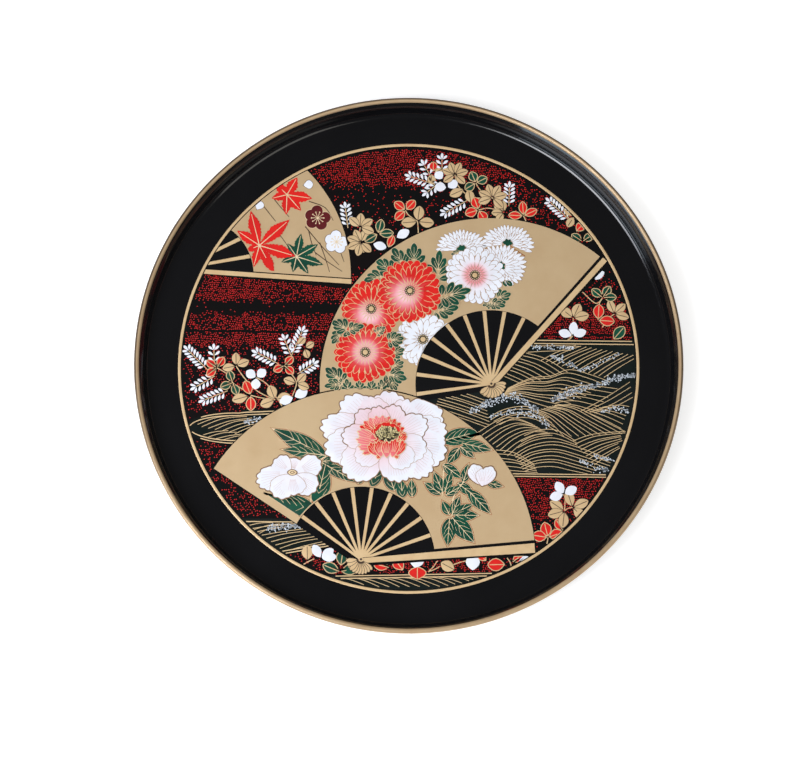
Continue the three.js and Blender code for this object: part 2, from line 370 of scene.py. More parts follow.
def round_shape(radius: float, lobes: int = 0, depth: float = 0.0) -> Shape:
    """Make a round outline, scalloped if it has lobes.

    Args:
        radius: Outer radius.
        lobes: Number of scallops, or 0 for a circle.
        depth: How deep the gaps between the lobes cut, as a share of the radius.

    Returns:
        The outline.
    """

    def outline(angle: float) -> Point:
        """Give the outline's point at an angle round its middle."""
        cut = 1.0 - depth * (1.0 - abs(math.cos(lobes * angle / 2.0)))
        return (radius * cut * math.cos(angle), radius * cut * math.sin(angle))

    return outline


def picture_depth(x: float, y: float) -> float:
    """Say how far a point lies inside the picture's edge."""
    return PICTURE_RADIUS - math.hypot(x, y)


def beside(origin: Point, degrees: float, x: float, y: float) -> float:
    """Say how far a point lies to the left of a ray.

    Args:
        origin: Where the ray starts.
        degrees: The ray's direction.
        x: Point across.
        y: Point up.

    Returns:
        The distance, negative to the right of the ray.
    """
    angle = math.radians(degrees)
    return (y - origin[1]) * math.cos(angle) - (x - origin[0]) * math.sin(angle)


def curve_through(points: Sequence[Point], steps: int = 6) -> list[Point]:
    """Draw a smooth curve through points.

    Args:
        points: The points in order.
        steps: Pieces between one point and the next.

    Returns:
        The curve's points.
    """
    ends = [points[0], *points, points[-1]]
    path = []
    for i in range(1, len(ends) - 2):
        a, b, c, d = (Vector(p) for p in ends[i - 1:i + 3])
        for step in range(steps):
            t = step / steps
            at = 0.5 * (2 * b + (c - a) * t + (2 * a - 5 * b + 4 * c - d) * t * t
                        + (3 * b - a - 3 * c + d) * t ** 3)
            path.append((at.x, at.y))
    path.append(points[-1])
    return path


def kept_runs(path: Sequence[Point], depth: Depth, margin: float) -> list[list[Point]]:
    """Cut a path where it leaves a region.

    Args:
        path: The path's points.
        depth: How far inside the region a point lies.
        margin: How far inside it has to stay.

    Returns:
        The stretches that stay inside, each of two points or more.
    """
    runs: list[list[Point]] = [[]]
    for point in path:
        if depth(*point) >= margin:
            runs[-1].append(point)
        elif runs[-1]:
            runs.append([])
    return [run for run in runs if len(run) > 1]


def drawn_in(outline: Sequence[Vector], reach: float) -> list[Vector]:
    """Draw a closed outline in, dropping what would cross over in its corners.

    Args:
        outline: Its points in order.
        reach: How far its edge is drawn in.

    Returns:
        A new place for each point. A dropped point gets its neighbour's place.
    """
    count = len(outline)
    flat = [Vector((point.x, point.y)) for point in outline]
    sides = [flat[(i + 1) % count] - flat[i] for i in range(count)]
    turning = sum(sides[i - 1].cross(sides[i]) for i in range(count))
    area = sum(flat[i - 1].cross(flat[i]) for i in range(count))
    left = math.copysign(1.0, area or turning)
    places: list[Vector | None] = []
    for i in range(count):
        way = (sides[i].normalized() + sides[i - 1].normalized()).normalized()
        inward = Vector((-way.y, way.x)) * left
        sine = max(abs(way.cross(sides[i].normalized())), 0.0)
        step = reach / max(math.sqrt(max(1.0 - sine * sine, 0.0)), 0.35)
        place = flat[i] + inward * step
        near = min(_to_segment(place, flat[j], sides[j]) for j in range(count))
        places.append(place if near > reach * 0.93 else None)
    kept = [i for i in range(count) if places[i] is not None]
    if len(kept) < 3:
        return []
    result = []
    for i in range(count):
        nearest = min(kept, key=lambda j: min(abs(i - j), count - abs(i - j)))
        result.append(places[nearest].to_3d())
    return result


def _to_segment(point: Vector, start: Vector, side: Vector) -> float:
    """Give a point's distance from the segment that starts at a point."""
    share = (point - start).dot(side) / max(side.length_squared, 1e-12)
    return (point - start - side * min(max(share, 0.0), 1.0)).length


def lift(bm: BMesh, low: float, high: float, shoulder: float) -> None:
    """Raise flat faces to closed low bodies with softened edges.

    Args:
        bm: Mesh of flat faces.
        low: Height of the underside.
        high: Height of the top.
        shoulder: How far the softened edge of a single face reaches in, or 0 for none.
    """
    for vert in bm.verts:
        vert.co.z = low
    raised = bmesh.ops.extrude_face_region(bm, geom=bm.faces[:], use_keep_orig=True)["geom"]
    top = next(item for item in raised if isinstance(item, BMFace))
    inner = drawn_in([vert.co for vert in top.verts], shoulder) if shoulder else []
    crown = (high - low) * CROWN if inner else 0.0
    for item in raised:
        if isinstance(item, BMVert):
            item.co.z = high - crown
    if inner:
        crowned = bmesh.ops.extrude_discrete_faces(bm, faces=[top])["faces"][0]
        for vert, place in zip(crowned.verts, inner):
            vert.co = (place.x, place.y, high)
    bmesh.ops.recalc_face_normals(bm, faces=bm.faces[:])


def trim(bm: BMesh, depth: Depth) -> None:
    """Draw what of a small flat face lies outside a region back to the region's edge.

    Args:
        bm: Mesh of one flat face.
        depth: How far inside the region a point lies.
    """
    if not bm.verts or all(depth(v.co.x, v.co.y) >= 0.0 for v in bm.verts):
        return
    if all(depth(v.co.x, v.co.y) < 0.05 for v in bm.verts):
        bmesh.ops.delete(bm, geom=bm.verts[:], context="VERTS")
        return
    step = 0.01
    for vert in bm.verts:
        for _ in range(4):
            here = depth(vert.co.x, vert.co.y)
            if here >= -0.002:
                break
            inward = Vector((depth(vert.co.x + step, vert.co.y) - here,
                             depth(vert.co.x, vert.co.y + step) - here, 0.0)).normalized()
            vert.co -= inward * here
    bmesh.ops.remove_doubles(bm, verts=bm.verts[:], dist=0.05)
    if bm.faces and bm.faces[:][0].calc_area() < 0.15:
        bmesh.ops.delete(bm, geom=bm.verts[:], context="VERTS")


class Relief:
    """One piece of raised work: small closed bodies gathered in one mesh, in millimetres."""

    def __init__(self, name: str, finish: Finish) -> None:
        """Start an empty piece.

        Args:
            name: The piece's name.
            finish: What it is made of.
        """
        self.name = name
        self.finish = finish
        self.body = bmesh.new()
        self.body.verts.layers.float.new("tone")
        self.spare = bpy.data.meshes.new("spare")

    def add(self, bm: BMesh, tone: Tone | None = None) -> None:
        """Add a small closed body, and let go of it.

        Args:
            bm: The body.
            tone: Share of the accent colour at a point, or none.
        """
        layer = bm.verts.layers.float.new("tone")
        if tone:
            for vert in bm.verts:
                vert[layer] = tone(vert.co.x, vert.co.y)
        bm.to_mesh(self.spare)
        bm.free()
        self.body.from_mesh(self.spare)

    def finished(self, *replaced: str, sharp: float = 40.0) -> bpy.types.Object | None:
        """Make the piece's object, if it holds anything.

        Args:
            replaced: CAD nodes that this piece stands for.
            sharp: Edges that turn by more degrees than this stay crisp.

        Returns:
            The object, or None if the piece is empty.
        """
        bpy.data.meshes.remove(self.spare)
        if not self.body.verts:
            self.body.free()
            return None
        bmesh.ops.scale(self.body, vec=(METRE, METRE, METRE), verts=self.body.verts)
        mesh = bpy.data.meshes.new(self.name)
        self.body.to_mesh(mesh)
        self.body.free()
        mesh.shade_smooth()
        mesh.set_sharp_from_angle(angle=math.radians(sharp))
        mesh.materials.append(self.finish.build())
        piece = bpy.data.objects.new(self.name, mesh)
        bpy.context.scene.collection.objects.link(piece)
        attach(piece, BODY)
        if replaced:
            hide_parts(*replaced)
        mesh.calc_loop_triangles()
        LOG.info("%s: %d triangles", self.name, len(mesh.loop_triangles))
        return piece


class Picture:
    """Raised work of one part of the picture, with one piece for each finish."""

    def __init__(self, name: str, depth: Depth = picture_depth) -> None:
        """Start an empty part.

        Args:
            name: Start of its pieces' names.
            depth: How far inside its region a point lies.
        """
        self.name = name
        self.depth = depth
        self.reliefs: dict[str, Relief] = {}

    def relief(self, finish: Finish) -> Relief:
        """Give the piece with a finish, and start it if it isn't there.

        Args:
            finish: The finish.

        Returns:
            The piece.
        """
        if finish.name not in self.reliefs:
            name = f"{self.name}_{finish.name.replace(' ', '_')}"
            self.reliefs[finish.name] = Relief(name, finish)
        return self.reliefs[finish.name]

    def plate(self, finish: Finish, shape: Shape, spot: Spot, low: float, high: float,
              steps: int = 14, shrink: float = 0.0, shoulder: float = 0.0,
              tone: Tone | None = None) -> None:
        """Lay a low plate.

        Args:
            finish: What it is made of.
            shape: Its outline.
            spot: Where it lies.
            low: Height of its underside.
            high: Height of its top.
            steps: Points round its outline.
            shrink: How far its edge is drawn in from the outline.
            shoulder: How far its softened edge reaches in.
            tone: Share of the accent colour at a point.
        """
        bm = bmesh.new()
        bmesh.ops.create_circle(bm, cap_ends=True, radius=1.0, segments=steps)
        matrix = spot.matrix()
        for vert in bm.verts:
            x, y = shape(math.atan2(vert.co.y, vert.co.x))
            vert.co = matrix @ Vector((x, y, 0.0))
        bmesh.ops.remove_doubles(bm, verts=bm.verts[:], dist=0.01)
        trim(bm, self.depth)
        if shrink and bm.faces:
            around = list(bm.faces[:][0].verts)
            places = drawn_in([vert.co for vert in around], shrink)
            if not places:
                bmesh.ops.delete(bm, geom=bm.verts[:], context="VERTS")
            for vert, place in zip(around, places):
                vert.co.xy = place.xy
            bmesh.ops.remove_doubles(bm, verts=bm.verts[:], dist=0.02)
        if not bm.faces:
            bm.free()
            return
        lift(bm, low, high, shoulder)
        self.relief(finish).add(bm, tone)

    def line(self, finish: Finish, path: Sequence[Point], width: float, low: float, high: float,
             taper: float = 1.0) -> None:
        """Lay a thin raised line along a path.

        Args:
            finish: What it is made of.
            path: Its middle line.
            width: Its width at the start.
            low: Height of its underside.
            high: Height of its ridge.
            taper: Width at the end as a share of the width at the start.
        """
        for run in kept_runs(path, self.depth, width / 2.0):
            count = len(run) - 1
            bm = bmesh.new()
            bmesh.ops.create_grid(bm, x_segments=count, y_segments=2, size=1.0)
            for vert in bm.verts:
                share = (vert.co.x + 1.0) / 2.0
                i = round(share * count)
                before = Vector(run[max(i - 1, 0)])
                after = Vector(run[min(i + 1, count)])
                side = (after - before).normalized().orthogonal()
                half = width / 2.0 * (1.0 + (taper - 1.0) * share)
                across = vert.co.y
                vert.co.xy = Vector(run[i]) + side * (across * half)
                vert.co.z = high if abs(across) < 0.5 else (low + high) / 2.0
            base = bmesh.ops.extrude_face_region(bm, geom=bm.faces[:], use_keep_orig=True)["geom"]
            for item in base:
                if isinstance(item, BMVert):
                    item.co.z = low
            bmesh.ops.recalc_face_normals(bm, faces=bm.faces[:])
            self.relief(finish).add(bm)

    def outlined(self, finish: Finish, edge: Finish, shape: Shape, spot: Spot, low: float,
                 high: float, rim: float, steps: int = 14, tone: Tone | None = None) -> None:
        """Lay an enamelled shape inside a gold outline.

        Args:
            finish: The enamel.
            edge: The outline's gold.
            shape: The whole outline.
            spot: Where it lies.
            low: Height of its underside.
            high: Height of the enamel.
            rim: Width of the outline.
            steps: Points round the outline.
            tone: Share of the enamel's accent colour at a point.
        """
        bed = low + (high - low) * 0.55
        self.plate(edge, shape, spot, low, bed, steps)
        self.plate(finish, shape, spot, bed, high, steps, shrink=rim, shoulder=rim * 0.8,
                   tone=tone)

    def finish(self) -> None:
        """Make this part's pieces."""
        for relief in self.reliefs.values():
            relief.finished()


# ---- the tray


class Profile:
    """Cross-section of a turned piece, drawn in the X-Z plane and spun about Z."""

    def __init__(self, radius: float, height: float) -> None:
        """Start at a point.

        Args:
            radius: Distance from the axis.
            height: Height above the foot's plane.
        """
        self.bm = bmesh.new()
        self.first = self.bm.verts.new((radius, 0.0, height))
        self.last = self.first

    def to(self, radius: float, height: float, steps: int = 1) -> "Profile":
        """Draw straight on to a point.

        Args:
            radius: Distance from the axis.
            height: Height above the foot's plane.
            steps: Pieces of the line.

        Returns:
            This profile.
        """
        start = self.last.co.copy()
        end = Vector((radius, 0.0, height))
        for step in range(1, steps + 1):
            made = bmesh.ops.extrude_vert_indiv(self.bm, verts=[self.last])["verts"]
            self.last = made[0]
            self.last.co = start.lerp(end, step / steps)
        return self

    def around(self, radius: float, height: float, degrees: float, steps: int) -> "Profile":
        """Draw on round a centre.

        Args:
            radius: The centre's distance from the axis.
            height: The centre's height.
            degrees: How far, positive from +X towards +Z.
            steps: Pieces of the arc.

        Returns:
            This profile.
        """
        made = bmesh.ops.spin(self.bm, geom=[self.last], cent=(radius, 0.0, height),
                              axis=(0.0, -1.0, 0.0), angle=math.radians(degrees), steps=steps)
        self.last = next(v for v in made["geom_last"] if isinstance(v, BMVert))
        return self

    def turned(self, steps: int, closed: bool = True) -> BMesh:
        """Close the profile and spin it into a body.

        Args:
            steps: Facets round the axis.
            closed: Whether the profile is a loop, and doesn't end on the axis.

        Returns:
            The closed body.
        """
        if closed:
            self.bm.edges.new((self.last, self.first))
        bmesh.ops.spin(self.bm, geom=self.bm.verts[:] + self.bm.edges[:], cent=(0, 0, 0),
                       axis=(0, 0, 1), angle=math.tau, steps=steps, use_merge=True)
        bmesh.ops.remove_doubles(self.bm, verts=self.bm.verts[:], dist=0.001)
        bmesh.ops.recalc_face_normals(self.bm, faces=self.bm.faces[:])
        return self.bm


@dataclass
class TrayBody:
    """Board, rim, lip, foot, picture ground and border line."""

    board_radius: float = 155.0
    board_bottom: float = 4.5
    board_gap: float = 0.3
    ground_rest: float = 139.6
    inner_fillet: float = 4.0
    outer_fillet: float = 6.0
    outer_shift: float = 0.6
    wall_lean: float = 7.0
    flare_lean: float = 43.0
    flare_height: float = 17.4
    outer_flare_height: float = 15.6
    outer_flare_top: float = 19.4
    wall_top: float = 20.4
    wall_top_width: float = 2.4
    tray_radius: float = 165.0
    tray_height: float = 22.5
    lip_width: float = 3.0
    lip_depth: float = 2.8
    foot_radius: float = 135.0
    foot_width: float = 7.0
    foot_taper: float = 0.6
    foot_round: float = 0.8
    ground_radius: float = 137.6
    border_inner: float = 137.7
    border_width: float = 1.6
    border_side: float = 0.2
    border_height: float = 0.3
    border_slope: float = 0.35
    facets: int = 288

    def build(self) -> None:
        """Make the turned pieces."""
        self._shell()
        self._lip()
        self._foot()
        self._ground()
        self._border()

    def _shell(self) -> None:
        """Make the board and the rim, which the lacquer covers without a seam."""
        inner = self.board_radius - self.board_gap
        board = Relief("base_board_lacquered", LACQUER)
        board.add(Profile(0.0, self.board_bottom).to(inner, self.board_bottom)
                  .to(inner, FLOOR).to(self.ground_rest, FLOOR).to(0.0, FLOOR)
                  .turned(self.facets, closed=False))
        board.finished("base_board")
        turn = 90.0 - self.wall_lean
        lean = math.tan(math.radians(self.wall_lean))
        flare = math.tan(math.radians(self.flare_lean))
        centre = self.board_radius
        low = FLOOR + self.inner_fillet
        angle = math.radians(-self.wall_lean)
        bend_r = (centre + self.inner_fillet * math.cos(angle)
                  + (self.flare_height - low - self.inner_fillet * math.sin(angle)) * lean)
        top_r = bend_r + (self.wall_top - self.flare_height) * flare
        outer_z = self.board_bottom + self.outer_fillet
        outer_c = centre + self.outer_shift
        outer_r = outer_c + self.outer_fillet * math.cos(angle)
        outer_end = outer_z + self.outer_fillet * math.sin(angle)
        flare_r = outer_r + (self.outer_flare_height - outer_end) * lean
        rim = Relief("rim_ring_lacquered", LACQUER)
        profile = Profile(inner, FLOOR).to(centre, FLOOR)
        profile.around(centre, low, turn, 10)
        profile.to(bend_r - 0.1, self.flare_height - 0.8).to(bend_r + 0.45, self.flare_height + 0.4)
        profile.to(top_r, self.wall_top).to(top_r + self.wall_top_width, self.wall_top)
        profile.to(top_r + self.wall_top_width, self.outer_flare_top)
        profile.to(flare_r + 0.3, self.outer_flare_height + 0.35)
        profile.to(flare_r - 0.1, self.outer_flare_height - 0.8).to(outer_r, outer_end)
        profile.around(outer_c, outer_z, -turn, 12).to(inner, self.board_bottom)
        rim.add(profile.turned(self.facets))
        rim.finished("rim_ring")

    def _lip(self) -> None:
        """Make the gold bead on the wall, an oval cut flat underneath."""
        half = self.lip_width / 2.0
        depth = self.lip_depth / 2.0
        middle = self.tray_height - depth
        start = math.degrees(math.asin((self.wall_top - middle) / depth))
        angle = math.radians(start)
        profile = Profile(half * math.cos(angle), half * math.sin(angle))
        profile.around(0.0, 0.0, 180.0 - 2.0 * start, 20)
        for vert in profile.bm.verts:
            vert.co.x += self.tray_radius - half
            vert.co.z = middle + vert.co.z * depth / half
        lip = Relief("lip_band_gold", LIP_GOLD)
        # The tone paints shade: darker bronze on the outer half of the rounded bead, mostly on its far
        # side.
        lip.add(profile.turned(self.facets), self._lip_painted_shade)
        lip.finished("lip_band")

    def _lip_painted_shade(self, x: float, y: float) -> float:
        """Give the share of painted shade, a darker bronze that is most on the outer half of the lip's
        far side.

        Args:
            x: Point across.
            y: Point up.

        Returns:
            The share, from 0 to 1.
        """
        outer = (math.hypot(x, y) - self.tray_radius + self.lip_width * 0.5) / 0.45
        far = (y + 120.0) / 110.0
        return min(max(outer, 0.0), 1.0) * min(max(far, 0.15), 1.0)

    def _foot(self) -> None:
        """Make the foot ring, with rounded lower edges."""
        half = self.foot_width / 2.0
        inner = self.foot_radius - half
        outer = self.foot_radius + half
        low = self.foot_round
        bend = self.foot_taper + low
        profile = Profile(inner, self.board_bottom).to(inner + self.foot_taper, low)
        profile.around(inner + bend, low, 90.0, 5).to(outer - bend, 0.0)
        profile.around(outer - bend, low, 90.0, 5).to(outer, self.board_bottom)
        foot = Relief("foot_ring_lacquered", LACQUER)
        foot.add(profile.turned(self.facets))
        foot.finished("foot_ring")

    def _ground(self) -> None:
        """Make the dark ground of the picture."""
        profile = Profile(0.0, FLOOR).to(self.ground_radius, FLOOR)
        profile.to(self.ground_radius, GROUND).to(0.0, GROUND)
        ground = Relief("picture_ground_lacquered", GROUND_LACQUER)
        ground.add(profile.turned(self.facets, closed=False))
        ground.finished("picture_ground")

    def _border(self) -> None:
        """Make the raised gold line round the picture."""
        start = self.border_inner
        end = start + self.border_width
        side = FLOOR + self.border_side
        top = FLOOR + self.border_height
        profile = Profile(start, FLOOR).to(start, side).to(start + self.border_slope, top)
        profile.to(end - self.border_slope, top).to(end, side).to(end, FLOOR)
        border = Relief("picture_border_gold", LINE_GOLD)
        border.add(profile.turned(self.facets))
        border.finished("picture_border")


# ---- ground and water


@dataclass(frozen=True)
class FanArea:
    """Ground that a fan hides: a sector with its butt."""

    pivot: Point
    leaf_centre: Point
    outer: float
    start: float
    end: float
    butt: float = 8.6

    def depth(self, x: float, y: float) -> float:
        """Say how far a point lies inside the fan's outline.

        Args:
            x: Point across.
            y: Point up.

        Returns:
            The distance, negative outside.
        """
        reach = self.outer - math.dist((x, y), self.leaf_centre)
        sector = min(beside(self.pivot, self.start, x, y), -beside(self.pivot, self.end, x, y))
        return max(min(reach, sector), self.butt - math.dist((x, y), self.pivot))


MAPLE_AREA = FanArea((-141.0, 58.4), (-131.0, 54.5), 95.2, -5.6, 75.0)
CHRYSANTHEMUM_AREA = FanArea((50.0, -10.9), (50.0, -10.9), 103.5, 46.6, 190.5)
PEONY_AREA = FanArea((-27.1, -119.0), (-27.1, -119.0), 104.2, 1.8, 146.7)
FAN_AREAS = (MAPLE_AREA, CHRYSANTHEMUM_AREA, PEONY_AREA)


def under_fans(x: float, y: float) -> float:
    """Say how far a point lies inside the nearest fan's outline, negative outside them all."""
    return max(area.depth(x, y) for area in FAN_AREAS)


@dataclass(frozen=True)
class Band:
    """A cloud of dots on the ground, thinning out towards its edges."""

    left: float
    right: float
    low: float
    high: float
    share: float
    fade: float = 6.0

    def share_at(self, x: float, y: float) -> float:
        """Give the share of the dots that show at a point.

        Args:
            x: Point across.
            y: Point up.

        Returns:
            The share, from 0 to 1.
        """
        across = min(x - self.left, self.right - x)
        up = min(y - self.low, self.high - y)
        return self.share * min(max(min(across, up) / self.fade + 0.5, 0.0), 1.0)


@dataclass
class Stipple:
    """Small raised red dots over the ground, in drifting bands."""

    pitch: float = 1.2
    wander: float = 0.34
    dot: float = 0.56
    dot_top: float = 0.85
    dot_height: float = 0.07
    sway: float = 1.1
    sway_size: float = 5.0
    cloud: float = 0.35
    half_width: float = 139.0
    seed: int = 11
    floor_share: float = 0.05
    bands: tuple[Band, ...] = (
        Band(-75, 6, 112, 140, 0.9, 8),
        Band(-10, 140, 116, 140, 0.72, 6),
        Band(-80, 40, 86, 112, 0.13, 4),
        Band(40, 110, 84, 118, 0.4, 8),
        Band(-140, -30, 39, 56, 0.85, 4),
        Band(-140, -30, 10, 31, 0.8, 5),
        Band(-140, -30, -32, 12, 0.34, 6),
        Band(-140, -60, -98, -46, 0.42, 5),
        Band(70, 140, 14, 36, 0.9, 5),
        Band(70, 140, 34, 72, 0.42, 6),
        Band(50, 140, -94, -66, 0.88, 5),
        Band(50, 110, -116, -90, 0.3, 6),
        Band(-70, 80, -130, -108, 0.55, 3),
    )

    def share_at(self, x: float, y: float) -> float:
        """Give the share of the dots that show at a point.

        Args:
            x: Point across.
            y: Point up.

        Returns:
            The share, from 0 to 1.
        """
        if picture_depth(x, y) < 1.2 or under_fans(x, y) > -1.0 or in_water(x, y) > -0.6:
            return 0.0
        share = max(band.share_at(x, y) for band in self.bands)
        cloud = noise.noise(Vector((x / 22.0, y / 9.0, 3.0)))
        return max(share * (1.0 + self.cloud * cloud), self.floor_share)

    def build(self) -> None:
        """Make the dots, in an upper and a lower piece, with the drift's noise seeded."""
        noise.seed_set(self.seed)
        for name, low, high in (("ground_dots_far", 20.0, 141.0), ("ground_dots_near", -141.0, 20.0)):
            self._field(name, low, high)

    def _field(self, name: str, low: float, high: float) -> None:
        """Make the dots of one strip.

        Args:
            name: The piece's name.
            low: Lower edge of the strip.
            high: Upper edge of the strip.
        """
        draw = random.Random(self.seed + round(high))
        size = self.sway_size
        half = self.half_width
        height = (high - low) / 2.0
        bm = bmesh.new()
        bmesh.ops.create_grid(bm, x_segments=round(2.0 * half / self.pitch),
                              y_segments=round(2.0 * height / self.pitch), size=1.0)
        shown = []
        for vert in bm.verts:
            edge = max(abs(vert.co.x), abs(vert.co.y)) > 0.999
            row = round((vert.co.y + 1.0) * height / self.pitch)
            x = vert.co.x * half + row % 2 * self.pitch / 2.0
            y = vert.co.y * height + (low + high) / 2.0
            sway = noise.noise_vector(Vector((x / size, y / size, 7.0))) * self.sway
            x += sway.x + draw.uniform(-self.wander, self.wander)
            y += sway.y + draw.uniform(-self.wander, self.wander)
            vert.co = (x, y, 0.0)
            if draw.random() < self.share_at(x, y) and not edge:
                shown.append(vert)
        dots = set(bmesh.ops.bevel(bm, geom=shown, offset=self.dot, offset_type="OFFSET",
                                   segments=2, profile=0.5, affect="VERTICES", material=-1,
                                   clamp_overlap=False)["faces"])
        bmesh.ops.delete(bm, geom=[f for f in bm.faces if f not in dots], context="FACES")
        for vert in bm.verts:
            vert.co.z = BEDDED
        tops = bmesh.ops.extrude_face_region(bm, geom=bm.faces[:], use_keep_orig=True)["geom"]
        for face in (item for item in tops if isinstance(item, BMFace)):
            middle = face.calc_center_median()
            for vert in face.verts:
                vert.co = middle.lerp(vert.co, self.dot_top)
                vert.co.z = GROUND + self.dot_height
        bmesh.ops.recalc_face_normals(bm, faces=bm.faces[:])
        field = Relief(name, DOT_RED)
        field.add(bm)
        field.finished(sharp=60.0)


SEA_TOP = 17.0
SEA_BOTTOM = -67.8
BEND_X = -103.0
BEND_Y = -39.9
BEND_WIDE = 30.5
BEND_TALL = 9.8
LOWER_LEFT_SLOPE = 10.7
BOTTOM_SLOPE = 1.7


def left_stream_depth(x: float, y: float) -> float:
    """Say how far a point lies inside the left stream, which ends in half an oval.

    Args:
        x: Point across.
        y: Point up.

    Returns:
        The distance, negative outside.
    """
    if x > -100.0:
        return min(-28.2 - y + (x + 81.0) * 0.03, y + 49.8, -60.0 - x)
    away = Vector((x, y)) - Vector((BEND_X, BEND_Y))
    return (1.0 - math.hypot(away.x / BEND_WIDE, away.y / BEND_TALL)) * BEND_TALL


def lower_left_stream_depth(x: float, y: float) -> float:
    """Say how far a point lies inside the lower left stream."""
    return min(-95.0 - y, beside((-80.0, -117.9), LOWER_LEFT_SLOPE, x, y), -28.0 - x)


def bottom_stream_depth(x: float, y: float) -> float:
    """Say how far a point lies below the bottom stream's upper edge."""
    return -beside((-45.0, -128.9), BOTTOM_SLOPE, x, y)


def sea_depth(x: float, y: float) -> float:
    """Say how far a point lies inside the sea."""
    return min(SEA_TOP - y, y - SEA_BOTTOM, x)


WATERS: dict[str, Depth] = {
    "sea_panel": sea_depth,
    "stream_left": left_stream_depth,
    "stream_lower_left": lower_left_stream_depth,
    "stream_bottom": bottom_stream_depth,
}


def in_water(x: float, y: float) -> float:
    """Say how far a point lies inside the nearest water, negative outside it all."""
    return max(depth(x, y) for depth in WATERS.values())


@dataclass(frozen=True)
class Swell:
    """A family of wave lines that run from one guide curve to another over a dark coat."""

    first: tuple[Point, ...]
    last: tuple[Point, ...]
    count: int
    coat: bool = True


@dataclass(frozen=True)
class Foam:
    """Pale dots strewn along a curve."""

    path: tuple[Point, ...]
    width: float
    count: int


SEA_SWELLS = tuple(Swell(*row) for row in (
    (((20, -13.5), (33, -16.5), (46, -21)), ((16, -27), (30, -31.5), (50, -38.5)), 9),
    (((75, 12.8), (90, 13.3), (104, 13)), ((72, 9), (84, 9.6), (98, 10.5)), 2, False),
    (((80, 4), (89, 9), (101, 13.8)), ((118, -6), (128, 1), (139, 7.5)), 13, False),
    (((71, 8.5), (83, 5), (96, -3)), ((55, -5), (62, -8), (70, -11.5)), 9),
    (((60, -13.5), (74, -7), (86, -5.5), (97, -1.5), (110, -4.5), (122, -9)),
     ((57, -18), (66, -19), (75, -21.5), (83, -24), (88, -25), (92, -26)), 11),
    (((92, -14), (106, -11), (126, -13)), ((88, -24), (99, -23), (112, -26.5)), 6),
    (((104, -27), (119, -18.5), (139, -5)), ((112, -28), (125, -24), (139, -16)), 4),
    (((117, -24.5), (127, -23), (138, -25)), ((106, -27), (119, -32.5), (136, -41.5)), 6),
    (((90, -23), (102, -25), (114, -31), (133, -40.5)),
     ((75, -27.5), (82, -31), (88, -36.5), (94, -43)), 10),
    (((48, -32), (58, -26.5), (71, -24.5), (83, -28.5)),
     ((55, -36), (65, -31.5), (77, -32.5), (90, -40)), 5),
    (((42, -41), (53, -34), (63, -31.5), (75, -35.5)),
     ((60, -55), (68, -48), (77, -43.5), (87, -42)), 9),
    (((70, -42.5), (80, -38.8), (90, -39.2), (101, -45.5)),
     ((66, -50), (76, -45), (88, -43.5), (102, -48)), 3),
    (((99, -45.5), (112, -41), (133, -39)), ((112, -60), (121, -53.5), (133, -46)), 9),
    (((53, -51.5), (64, -53), (76, -60)), ((56, -63.5), (66, -64), (78, -65)), 6),
    (((64, -54.5), (74, -48.5), (88, -46), (103, -49.5), (127, -58.5)),
     ((70, -64.5), (78, -61.5), (88, -61), (97, -63), (108, -65.5)), 8),
))
SEA_FOAM = tuple(Foam(*row) for row in (
    (((74, 12), (87, 12.2), (100, 12)), 2.6, 60), (((86, 7), (93, 4), (101, 0.5)), 4, 60),
    (((103, -2), (114, 2), (127, 8.5)), 2.2, 60), (((87, -20), (98, -15.5), (112, -11)), 4.6, 190),
    (((112, -11.5), (124, -7), (137, -4)), 4.2, 170),
    (((38, -28), (48, -22.5), (60, -19), (70, -22), (78, -27)), 5.2, 260),
    (((50, -31), (62, -28), (76, -30), (84, -36)), 4, 110),
    (((104, -58), (114, -62), (120, -63)), 4, 70), (((112, -54), (120, -56.5), (126, -58)), 2.6, 40),
    (((117, -27), (124, -25), (132, -27)), 3.4, 50),
))
LEFT_SWELLS = (
    Swell(((-128, -38.5), (-115, -33.5), (-100, -31.8)), ((-80, -48.5), (-72, -44.5), (-64, -42)), 13,
          False),
    Swell(((-125, -45), (-117, -42.5), (-108, -41.5)), ((-108, -48.6), (-98, -46.0), (-88, -45)), 5),
)
LOWER_LEFT_SWELLS = (
    Swell(((-100, -97.6), (-92, -96.9), (-84, -96.8)), ((-88, -104), (-80, -100), (-72, -98.5)), 4,
          False),
    Swell(((-92, -101), (-80, -99), (-62, -97.3)), ((-70, -116.8), (-58, -112.5), (-44, -109)), 9,
          False),
)
BOTTOM_SWELLS = (
    Swell(((-44, -130.3), (-34, -131.0), (-22, -135.5)), ((38, -128.5), (46, -130), (56, -134)), 14,
          False),
)
STREAM_FOAM = (
    Foam(((-98, -36), (-92, -34.5), (-86, -36)), 3.6, 60),
    Foam(((-83, -101), (-74, -99.5), (-64, -99)), 4.6, 150),
)


